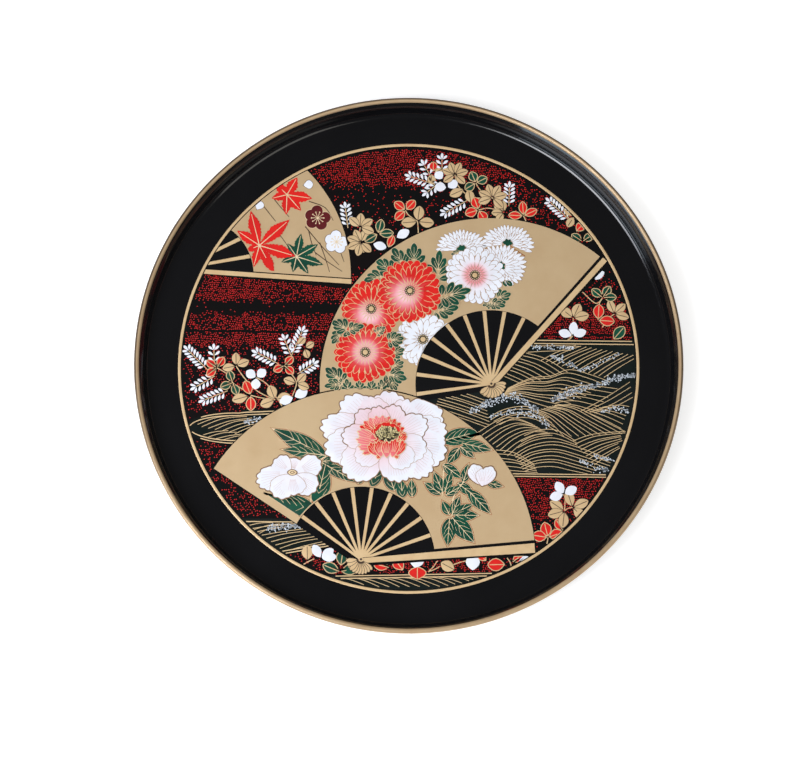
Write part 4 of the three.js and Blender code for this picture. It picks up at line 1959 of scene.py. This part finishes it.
SCALLOP = 0.055
PEONY_PETALS = tuple(between(*row, SCALLOP) for row in (
    ((-12, -46), (-11.5, -15.6), 24, 13), ((-12, -44), (-40, -21), 23, 13),
    ((-13, -46), (-25.5, -20.2), 21, 13), ((-12, -46), (-53, -37), 22, 15),
    ((-10, -46), (19.5, -25), 26, 15), ((-12, -46), (2, -21.6), 19, 13),
    ((-12, -47), (-50.5, -52.5), 25, 15), ((-8, -46), (23.6, -38.5), 22, 15),
    ((-8, -46), (23.4, -55), 25, 15), ((-14, -47), (-37.5, -68.5), 25, 15),
    ((-10, -46), (14, -67), 22, 15), ((-11, -45), (-2.5, -72), 23, 15),
))
PEONY_FOLDS = tuple(between(*row, SCALLOP) for row in (
    ((-14, -44), (-31, -29), 15, 11), ((-12, -44), (-7, -24.6), 15, 11),
    ((-12, -46), (11.5, -33.5), 17, 12), ((-15, -46), (-40, -43.5), 16, 12),
    ((-10, -48), (11.5, -53), 18, 12), ((-14, -48), (-31, -60), 16, 12), ((-10, -48), (1, -63), 17, 12),
    ((-14, -46), (-19.5, -25.6), 14, 11),
))
BOWL_BACK = tuple(between(polar(4.0, turn, (-15.5, -44.0)),
                          (-15.8 + 15.2 * math.cos(math.radians(turn)),
                           -44.0 + 12.9 * math.sin(math.radians(turn))), 5.8, 6, 0.1)
                  for turn in (8, 168, 24, 152, 40, 136, 56, 120, 72, 104, 88))
BOWL_MIDDLE = tuple(between(polar(2.0, turn, (-12.5, -44.0)),
                            (-12.5 + 9.4 * math.cos(math.radians(turn)),
                             -43.4 + 8.2 * math.sin(math.radians(turn))), 6.4, 4, 0.05)
                    for turn in (10, 150, 36, 126, 60, 104, 82))
BOWL_SIDE = (between((-20, -53), (-27.5, -55.0), 3.4), between((-19, -52), (-30.0, -50.6), 5.0),
             between((-18, -49), (-31.5, -46.0), 5.6), between((-18.5, -46), (-30.5, -41.0), 6.2),
             between((-6, -48), (-1.0, -42.0), 5.2), between((-16.0, -54.5), (-18.5, -58.2), 3.0),
             between((-8.0, -54.5), (-5.5, -57.8), 3.0))
BOWL_FRONT = (between((-18.5, -56.2), (-22.6, -48.0), 6.6), between((-6.6, -56.0), (-2.6, -46.2), 6.6),
              between((-15.8, -57.0), (-17.8, -46.6), 6.8), between((-9.2, -57.0), (-7.4, -45.4), 6.8),
              between((-12.6, -57.4), (-12.6, -46.8), 7.0))
SIDE_FLOWER = (
    Petal(-69, -67, 80, 9.4, 18, 10), Petal(-67, -67, 27, 17.0, 14, 10),
    Petal(-70, -67, 142, 13.0, 14, 10), Petal(-70, -67, 196, 21.5, 15, 12),
    Petal(-67, -68, 320, 16.0, 15, 10), Petal(-69, -68, 232, 17.5, 15, 10),
    Petal(-69, -67, 275, 14.0, 16, 10),
)
BUD = (Petal(44, -73, 112, 13.5, 10, 6, 0.05), Petal(45.5, -73.5, 66, 13.0, 9.0, 6, 0.05),
       Petal(45, -74, 92, 11.0, 8, 6, 0.05))
PEONY_LEAVES = tuple(Leaf(*row) for row in (
    ((-82.5, -39.5), (-48.8, -56.5), 11.6), ((-76.8, -52.6), (-48.5, -56.2), 7.9),
    ((-41.5, -58.6), (-51, -59.8), 5.6), ((-29, -72.8), (-51.5, -60.5), 7.3),
    ((-48.6, -59), (-54.5, -86), 12.5), ((-88, -82), (-54.5, -89.5), 13),
    ((-70, -83.6), (-56.5, -88), 6), ((-15.2, -60.5), (-21.5, -74.8), 7.4),
    ((-13.4, -60.5), (-7.6, -77.2), 8.8), ((-27, -66.5), (-29.5, -73.4), 4.9),
    ((-4, -69.5), (-2.6, -81.5), 7.3), ((2.5, -69.5), (3, -81), 6.1),
    ((44.5, -39.6), (20.5, -46.5), 10.5), ((51.4, -51.8), (32.5, -47.5), 7.8),
    ((40.5, -57), (31.5, -49.5), 5.6), ((23.5, -61), (31, -50.5), 6.6),
    ((18.5, -57.5), (23.5, -49.5), 5.4), ((33.5, -69.5), (21, -60.8), 6.8),
    ((37, -59.5), (33.5, -71.5), 6.1), ((58, -74), (47.5, -71.5), 5.1),
    ((15.5, -64.5), (21.5, -78), 6.6), ((9.5, -71.5), (20.5, -79), 6.3),
    ((26.5, -64), (22.5, -77.5), 5.9), ((33, -73.5), (23, -79.5), 5.9), ((41, -80), (30, -72), 6.3),
    ((50.5, -91), (36.5, -76.5), 8.1), ((43.5, -91.6), (28, -91.5), 7.6),
    ((40.8, -108.5), (27, -93), 10.7), ((24.4, -111), (25.5, -93.5), 9),
    ((31.5, -79.5), (27, -91.5), 6.6), ((20.8, -82.5), (25.5, -91.5), 5.9),
    ((40, -84.5), (28.5, -90.5), 5.9),
))


@dataclass(frozen=True)
class Butt:
    """Rounded ends of a fan's sticks round its rivet."""

    pivot: Point
    reach: float
    turns: tuple[float, ...]


@dataclass
class FanButts:
    """The rounded ends of the sticks under the rivets of two fans."""

    step: float = 0.045
    thickness: float = 0.05
    rivet: float = 1.5
    rivet_height: float = 0.5
    butts: tuple[Butt, ...] = (
        Butt((-27.1, -119.0), 9.4, (318, 304, 290, 277, 264, 251, 238, 225, 204, 186)),
        Butt((50.0, -10.9), 9.2, (2, 346, 331, 316, 302, 288, 274, 258, 240, 222)),
    )

    def build(self) -> None:
        """Lay them on the peony fan and on the chrysanthemum fan."""
        part = Picture("fan_butts")
        for butt in self.butts:
            shape = blade(butt.reach, butt.reach * 0.34, 0.7, 0.9, 0.55)
            for i, turn in enumerate(butt.turns):
                level = BACKING + 0.16 + i * self.step
                part.outlined(LINE_GOLD, TWIG_BROWN, shape, Spot(*butt.pivot, turn), level,
                              level + self.thickness, 0.3, 14)
            head = Spot(*butt.pivot)
            part.plate(LINE_GOLD, round_shape(self.rivet), head, LEAF, LEAF + self.rivet_height, 16)
            part.plate(TWIG_BROWN, round_shape(self.rivet / 2.0), head, LEAF,
                       LEAF + self.rivet_height + 0.04, 12)
        part.finish()


@dataclass
class PeonyFan:
    """The peony, its side flower, bud and leaves on the near fan."""

    inner: float = 44.6
    start: float = 5.8
    end: float = 146.7
    edges: Point = (2.6, 0.9)
    stem_width: float = 0.7
    rim: float = 0.3
    fold_rim: float = 0.26
    bowl_rim: float = 0.36
    stamens: int = 110
    seed: int = 3

    def build(self) -> None:
        """Lay leaves, stems and flowers."""
        depth = leaf_depth(PEONY_AREA, self.inner, self.start, self.end, self.edges)
        part = Picture("peony", depth)
        for i, leaf in enumerate(PEONY_LEAVES):
            leaf.lay(part, LEAF + i % 3 * 0.02)
        for path in (((-48.8, -56.8), (-52, -59), (-57, -72), (-57.5, -86)),
                     ((34, -71), (28, -80), (27, -92)), ((22, -60), (21.5, -70), (21, -80))):
            part.line(CREAM, curve_through(path), self.stem_width, LEAF, LEAF + 0.16)
        self._petals(part, SIDE_FLOWER, WHITE, LEAF + 0.16, (-69.0, -67.0, 0.05), self.rim)
        self._petals(part, BUD, WHITE, LEAF + 0.16, (45.0, -74.0, 0.1), self.rim)
        self._petals(part, PEONY_PETALS, WHITE, LEAF + 0.18, (-17.0, -42.0, 0.34), self.rim, 0.72)
        self._petals(part, PEONY_FOLDS, WHITE, LEAF + 0.46, (-17.0, -41.0, 0.4), self.fold_rim,
                     1.05)
        self._bowl(part)
        self._side_eye(part)
        part.finish()

    @staticmethod
    def _petals(part: Picture, petals: Sequence[Petal], finish: Finish, low: float,
                flush: tuple[float, float, float], rim: float,
                spread: float = 0.95) -> None:
        """Lay ruffled petals over each other, with faint rays.

        Args:
            part: Where they go.
            petals: The petals, from the lowest to the highest.
            finish: Their enamel.
            low: Height of the lowest.
            flush: Centre and strength of the accent colour.
            rim: Width of the outline.
            spread: How far the accent reaches, as a share of the longest petal.
        """
        x, y, most = flush
        size = max(petal.length for petal in petals)
        tone = flush_round(x, y, size * 0.3, size * spread, most)
        ray_finish = VEIN_PALE if finish is WHITE else CREAM
        edge = BLUSH_GOLD if finish is WHITE else CREAM
        for i, petal in enumerate(petals):
            level = low + i * 0.026
            steps = 110 if petal.length > 18.0 else 48
            spot = Spot(petal.x, petal.y, petal.turn)
            shape = ruffled(petal.length, petal.width, petal.waves, petal.depth, 0.6, 0.5)
            if finish is WHITE:
                wide = ruffled(petal.length + 0.7, petal.width + 0.8, petal.waves, petal.depth,
                               0.6, 0.5)
                part.plate(BROWN_GOLD, wide, spot.ahead(-0.3), LEAF, low - 0.02, steps)
            part.plate(edge, shape, spot, LEAF, level + 0.016, steps)
            part.plate(finish, shape, spot, level, level + 0.045, steps, shrink=rim,
                       shoulder=0.3, tone=tone)
            rays = max(round(petal.width / (2.2 if finish is WHITE else 1.5)), 2)
            for ray in range(rays):
                lean = (ray - (rays - 1) / 2.0) / rays
                start = polar(petal.length * 0.3, petal.turn + 46 * lean, (petal.x, petal.y))
                path = [start] + [polar(petal.length * share * (1.0 - 0.35 * lean * lean),
                                        petal.turn + (46 - 8 * share) * lean, (petal.x, petal.y))
                                  for share in (0.45, 0.65, 0.84)]
                part.line(ray_finish, path, 0.3, level + 0.03, level + 0.056, taper=0.6)

    def _bowl(self, part: Picture) -> None:
        """Lay the red inner petals and the stamens.

        Args:
            part: Where it goes.
        """
        low = LEAF + 0.72
        self._petals(part, BOWL_BACK, RED, low, (-18.5, -31.0, 0.3), self.rim)
        part.plate(RED, round_shape(9.0), Spot(-13.4, -44.0), LEAF, low + 0.3, 24)
        for i, petal in enumerate(BOWL_MIDDLE):
            part.outlined(RED, CREAM, ruffled(petal.length, petal.width, 4, 0.05, 0.6, 0.5),
                          Spot(petal.x, petal.y, petal.turn), low + 0.3 + i * 0.01,
                          low + 0.36 + i * 0.01, 0.2, 24)
        self._petals(part, BOWL_SIDE, RED, low + 0.3, (-29.0, -46.0, 0.35), self.bowl_rim)
        part.plate(EYE_BROWN, blade(14.4, 9.6, 0.5, 0.55, 0.55), Spot(-19.6, -42.6), low,
                   low + 0.5, 24)
        draw = random.Random(self.seed)
        for _ in range(self.stamens):
            at = (draw.gauss(-12.4, 3.6), draw.gauss(-42.6, 2.3))
            part.plate(STAMEN, blade(1.7, 0.85), Spot(*at, draw.uniform(0, 180)), low + 0.44,
                       low + 0.55, 8)
        self._petals(part, BOWL_FRONT, RED, low + 0.46, (-13.0, -58.5, 0.3), self.bowl_rim)

    @staticmethod
    def _side_eye(part: Picture) -> None:
        """Lay the eye of the side flower.

        Args:
            part: Where it goes.
        """
        low = LEAF + 0.46
        for radius, finish in ((3.2, BROWN_GOLD), (2.6, CREAM), (1.4, BROWN_GOLD), (0.9, CREAM)):
            shape = blade(radius * 2.0, radius * 1.25, 0.5, 0.6, 0.6)
            part.plate(finish, shape, Spot(-69.0 - radius, -66.8), low - 0.1, low, 20)
            low += 0.02






@dataclass(frozen=True)
class Lobe:
    """One pointed lobe of a maple leaf: its tip and width."""

    x: float
    y: float
    width: float


MAPLES = (
    (RED, (-75.5, 106.0), (Lobe(-75.8, 93.4, 7), Lobe(-66.8, 96, 7.4), Lobe(-84.8, 103.6, 6.4),
                           Lobe(-60, 103.8, 8), Lobe(-82.5, 113, 7), Lobe(-69.5, 117, 8))),
    (GREEN, (-69.0, 67.0), (Lobe(-66.5, 81.5, 6.4), Lobe(-56, 74.8, 6.8), Lobe(-52.6, 62, 7),
                            Lobe(-61.5, 56.3, 5.8), Lobe(-71, 57.2, 5.6), Lobe(-78.2, 63.4, 5.2),
                            Lobe(-74.6, 75.2, 5.0))),
    (RED, (-91.7, 73.7), (Lobe(-97.5, 95.5, 8.6), Lobe(-73.6, 90.2, 9.0), Lobe(-69.6, 67.2, 9.6),
                          Lobe(-82.3, 56.2, 7.4), Lobe(-95, 60, 6.2), Lobe(-99.8, 70, 4.8),
                          Lobe(-105.4, 82.8, 7.6))),
)
TWIGS = (
    ((-64, 86), (-54, 74), (-43, 62)), ((-90, 99), (-86, 94), (-82, 89)),
    ((-84, 86), (-79, 80), (-74, 73)), ((-55, 76), (-51, 65), (-48, 55)),
    ((-62, 102), (-52, 98), (-47, 90)), ((-49, 80), (-44, 74), (-40, 64)),
    ((-62, 84), (-60, 76), (-57, 68)), ((-109, 76), (-104, 70), (-102, 62)),
    ((-58, 70), (-50, 64), (-41, 58)), ((-84, 104), (-80, 99), (-74, 92)),
)
BLOSSOM_PETALS = (96.5, 4.0, -61.0, 221.0, 159.0)


@dataclass
class MapleFan:
    """Maple leaves, plum blossom and twigs on the far fan."""

    inner: float = 36.5
    start: float = -3.35
    end: float = 75.0
    edges: Point = (2.8, 3.0)
    twig_width: float = 0.62
    white_blossom: float = 4.6
    plum_blossom: float = 5.0
    midrib: float = 0.6

    def build(self) -> None:
        """Lay everything on the far fan's leaf."""
        depth = leaf_depth(MAPLE_AREA, self.inner, self.start, self.end, self.edges)
        part = Picture("maple", depth)
        for path in TWIGS:
            part.line(TWIG_BROWN, curve_through(path), self.twig_width, LEAF, LEAF + 0.05, taper=0.6)
        self._blossom(part, (-44.7, 76.5), self.white_blossom, WHITE, LEAF + 0.04)
        for spot in (Spot(-94, 96, 60), Spot(-103, 91, 100), Spot(-66, 112, 10)):
            part.outlined(WHITE, BROWN_GOLD, blade(6.5, 6.0, 0.6, 0.8, 0.5), spot, LEAF,
                          LEAF + 0.08, 0.25, 18)
        self._blossom(part, (-56.5, 91.5), self.plum_blossom, PLUM, LEAF + 0.1)
        for i, (finish, centre, lobes) in enumerate(MAPLES):
            self._maple(part, finish, centre, lobes, LEAF + 0.02 + i * 0.1)
        part.finish()

    @staticmethod
    def _blossom(part: Picture, centre: Point, size: float, finish: Finish, low: float) -> None:
        """Lay a blossom of five round petals.

        Args:
            part: Where it goes.
            centre: Its middle.
            size: How far its petals lie out.
            finish: Their enamel.
            low: Height of its underside.
        """
        edge = CREAM if finish is PLUM else BROWN_GOLD
        for i, turn in enumerate(BLOSSOM_PETALS):
            at = polar(size * 0.9, turn, centre)
            part.outlined(finish, edge, round_shape(size * 0.76), Spot(*at), low, low + 0.09
                          + i * 0.004, 0.3, 22)
        part.plate(finish, round_shape(size * 0.5), Spot(*centre), low, low + 0.12, 18)
        for turn in range(0, 360, 36):
            end = polar(size * 0.75, turn, centre)
            part.line(CREAM, [centre, end], 0.34, low + 0.1, low + 0.14)
            part.plate(CREAM, round_shape(0.45), Spot(*end), low + 0.08, low + 0.15, 8)

    def _maple(self, part: Picture, finish: Finish, centre: Point, lobes: Sequence[Lobe],
               low: float) -> None:
        """Lay a maple leaf: toothed lobes with pale midribs.

        Args:
            part: Where it goes.
            finish: Its enamel.
            centre: Where the lobes meet.
            lobes: Its lobes.
            low: Height of its underside.
        """
        for i, lobe in enumerate(lobes):
            length = math.dist((lobe.x, lobe.y), centre)
            turn = math.degrees(math.atan2(lobe.y - centre[1], lobe.x - centre[0]))
            spot = Spot(*centre, turn).ahead(-0.8)
            teeth = max(round(length / 1.9), 4)
            plain = blade(length + 0.8, lobe.width * 0.86, 0.52, 1.15, 1.1)

            def toothed(angle: float, plain: Shape = plain, teeth: int = teeth) -> Point:
                """Give the outline's point, with teeth that point to the tip.

                Args:
                    angle: Angle round its middle.
                    plain: The outline without teeth.
                    teeth: Number of teeth along one side.

                Returns:
                    The point.
                """
                x, y = plain(angle)
                along = (1.0 - math.cos(angle)) / 2.0
                cut = 0.3 * ((along * teeth) % 1.0) if 0.12 < along < 0.94 else 0.0
                return (x, y * (1.12 - cut))

            part.plate(finish, toothed, spot, low, low + 0.08 + i * 0.006, 72, shoulder=0.0)
        for lobe in lobes:
            end = (centre[0] + (lobe.x - centre[0]) * 0.9, centre[1] + (lobe.y - centre[1]) * 0.9)
            middle = ((centre[0] + end[0]) / 2.0, (centre[1] + end[1]) / 2.0)
            part.line(CREAM, [centre, middle, end], self.midrib, low + 0.08, low + 0.15, taper=0.5)


# ---- stage


@dataclass
class Softbox:
    """A soft rectangular studio light."""

    name: str
    at: tuple[float, float, float]
    aim: tuple[float, float, float]
    size: tuple[float, float]
    radiance: float
    colour: tuple[float, float, float] = (1.0, 1.0, 1.0)

    def build(self) -> None:
        """Hang the light, facing its aim."""
        light = bpy.data.lights.new(self.name, "AREA")
        light.shape = "RECTANGLE"
        light.size = self.size[0]
        light.size_y = self.size[1]
        light.energy = self.radiance * math.pi * self.size[0] * self.size[1]
        light.color = self.colour
        lamp = bpy.data.objects.new(self.name, light)
        bpy.context.scene.collection.objects.link(lamp)
        lamp.location = self.at
        way = Vector(self.aim) - Vector(self.at)
        lamp.rotation_euler = way.to_track_quat("-Z", "Y").to_euler()


@dataclass
class Stage:
    """Pale floor, soft lights and the camera."""

    camera_at: tuple[float, float, float] = (0.0, -0.4443, 1.9590)
    camera_aim: tuple[float, float, float] = (-0.0051, -0.0103, 0.009)
    lens: float = 148.98
    floor_half: float = 6.0
    floor_drop: float = 0.0002
    floor_glow: float = 0.45
    surround: float = 0.58
    surround_mirrored: float = 0.07

    def build(self) -> None:
        """Set everything up round the tray."""
        self._floor()
        self._world()
        self._camera()
        for light in self._lights():
            light.build()
        bpy.context.scene.view_settings.view_transform = "Standard"

    def _floor(self) -> None:
        """Lay the floor just under the foot, with a faint glow that keeps its shadows pale."""
        bm = bmesh.new()
        bmesh.ops.create_grid(bm, x_segments=4, y_segments=4, size=self.floor_half)
        bmesh.ops.translate(bm, vec=(0.0, 0.0, -self.floor_drop), verts=bm.verts)
        mesh = bpy.data.meshes.new("floor")
        bm.to_mesh(mesh)
        bm.free()
        paint = FLOOR_PALE.build()
        shader = paint.node_tree.nodes["Principled BSDF"]
        shader.inputs["Emission Color"].default_value = (1.0, 1.0, 1.0, 1.0)
        shader.inputs["Emission Strength"].default_value = self.floor_glow
        mesh.materials.append(paint)
        floor = bpy.data.objects.new("floor", mesh)
        bpy.context.scene.collection.objects.link(floor)
        floor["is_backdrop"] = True

    def _world(self) -> None:
        """Make the surroundings: pale to look at, dim in reflections."""
        world = bpy.data.worlds.new("studio")
        world.use_nodes = True
        nodes = world.node_tree.nodes
        links = world.node_tree.links
        back = nodes["Background"]
        path = nodes.new("ShaderNodeLightPath")
        mirrored = nodes.new("ShaderNodeMapRange")
        mirrored.inputs["To Min"].default_value = self.surround
        mirrored.inputs["To Max"].default_value = self.surround_mirrored
        links.new(path.outputs["Is Glossy Ray"], mirrored.inputs["Value"])
        level = nodes.new("ShaderNodeMapRange")
        links.new(mirrored.outputs["Result"], level.inputs["To Min"])
        level.inputs["To Max"].default_value = 1.0
        links.new(path.outputs["Is Camera Ray"], level.inputs["Value"])
        links.new(level.outputs["Result"], back.inputs["Strength"])
        back.inputs["Color"].default_value = (1.0, 1.0, 1.0, 1.0)
        bpy.context.scene.world = world

    def _camera(self) -> None:
        """Set the camera high in front of the tray."""
        lens = bpy.data.cameras.new("camera")
        lens.lens = self.lens
        lens.sensor_width = 36.0
        camera = bpy.data.objects.new("camera", lens)
        bpy.context.scene.collection.objects.link(camera)
        camera.location = self.camera_at
        way = Vector(self.camera_aim) - Vector(self.camera_at)
        camera.rotation_euler = way.to_track_quat("-Z", "Y").to_euler()
        bpy.context.scene.camera = camera

    def _lights(self) -> list[Softbox]:
        """List the lights.

        Returns:
            The softboxes.
        """
        middle = (0.0, 0.0, 0.0)
        return [
            Softbox("key_left", (-1.35, -1.2, 2.1), middle, (1.5, 1.5), 2.9),
            Softbox("key_right", (1.25, -1.35, 2.1), middle, (1.3, 1.5), 1.5, (1.0, 0.96, 0.88)),
            Softbox("near_left", (-0.58, -0.34, 0.84), (-0.1, -0.08, 0.0), (0.56, 0.56), 6.5,
                    (0.97, 1.0, 1.1)),
            Softbox("low_left", (-1.5, -1.1, 0.2), middle, (1.6, 0.6), 3.2, (0.72, 0.86, 1.0)),
        ]


# ---- putting it together


FAN_FINISHES = {"backing": LACQUER, "leaf": LEAF_GOLD, "rivet": BROWN_GOLD}


def dress_fans() -> None:
    """Give the fans' own solids their finishes."""
    for name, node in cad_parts.items():
        if "_fan_" in name:
            finish = FAN_FINISHES.get(name.split("_fan_")[1], LINE_GOLD)
            node.material_slots[0].material = finish.build()
            LOG.info("%s: %s", name, finish.name)


def main() -> None:
    """Build the looks, piece by piece."""
    logging.basicConfig(level=logging.INFO, format="%(name)s: %(message)s")
    for builder in (TrayBody(), Stipple(), Water(), Sprigs(), MapleFan(), ChrysanthemumFan(),
                    PeonyFan(), FanButts(), Stage()):
        LOG.info("%s", type(builder).__name__)
        builder.build()
    dress_fans()


if __name__ == "__main__":
    main()
    boxes = {"cad": CAD_BOX, "visual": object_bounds()}
    plain = {key: [[float(v) for v in corner] for corner in box] for key, box in boxes.items()}
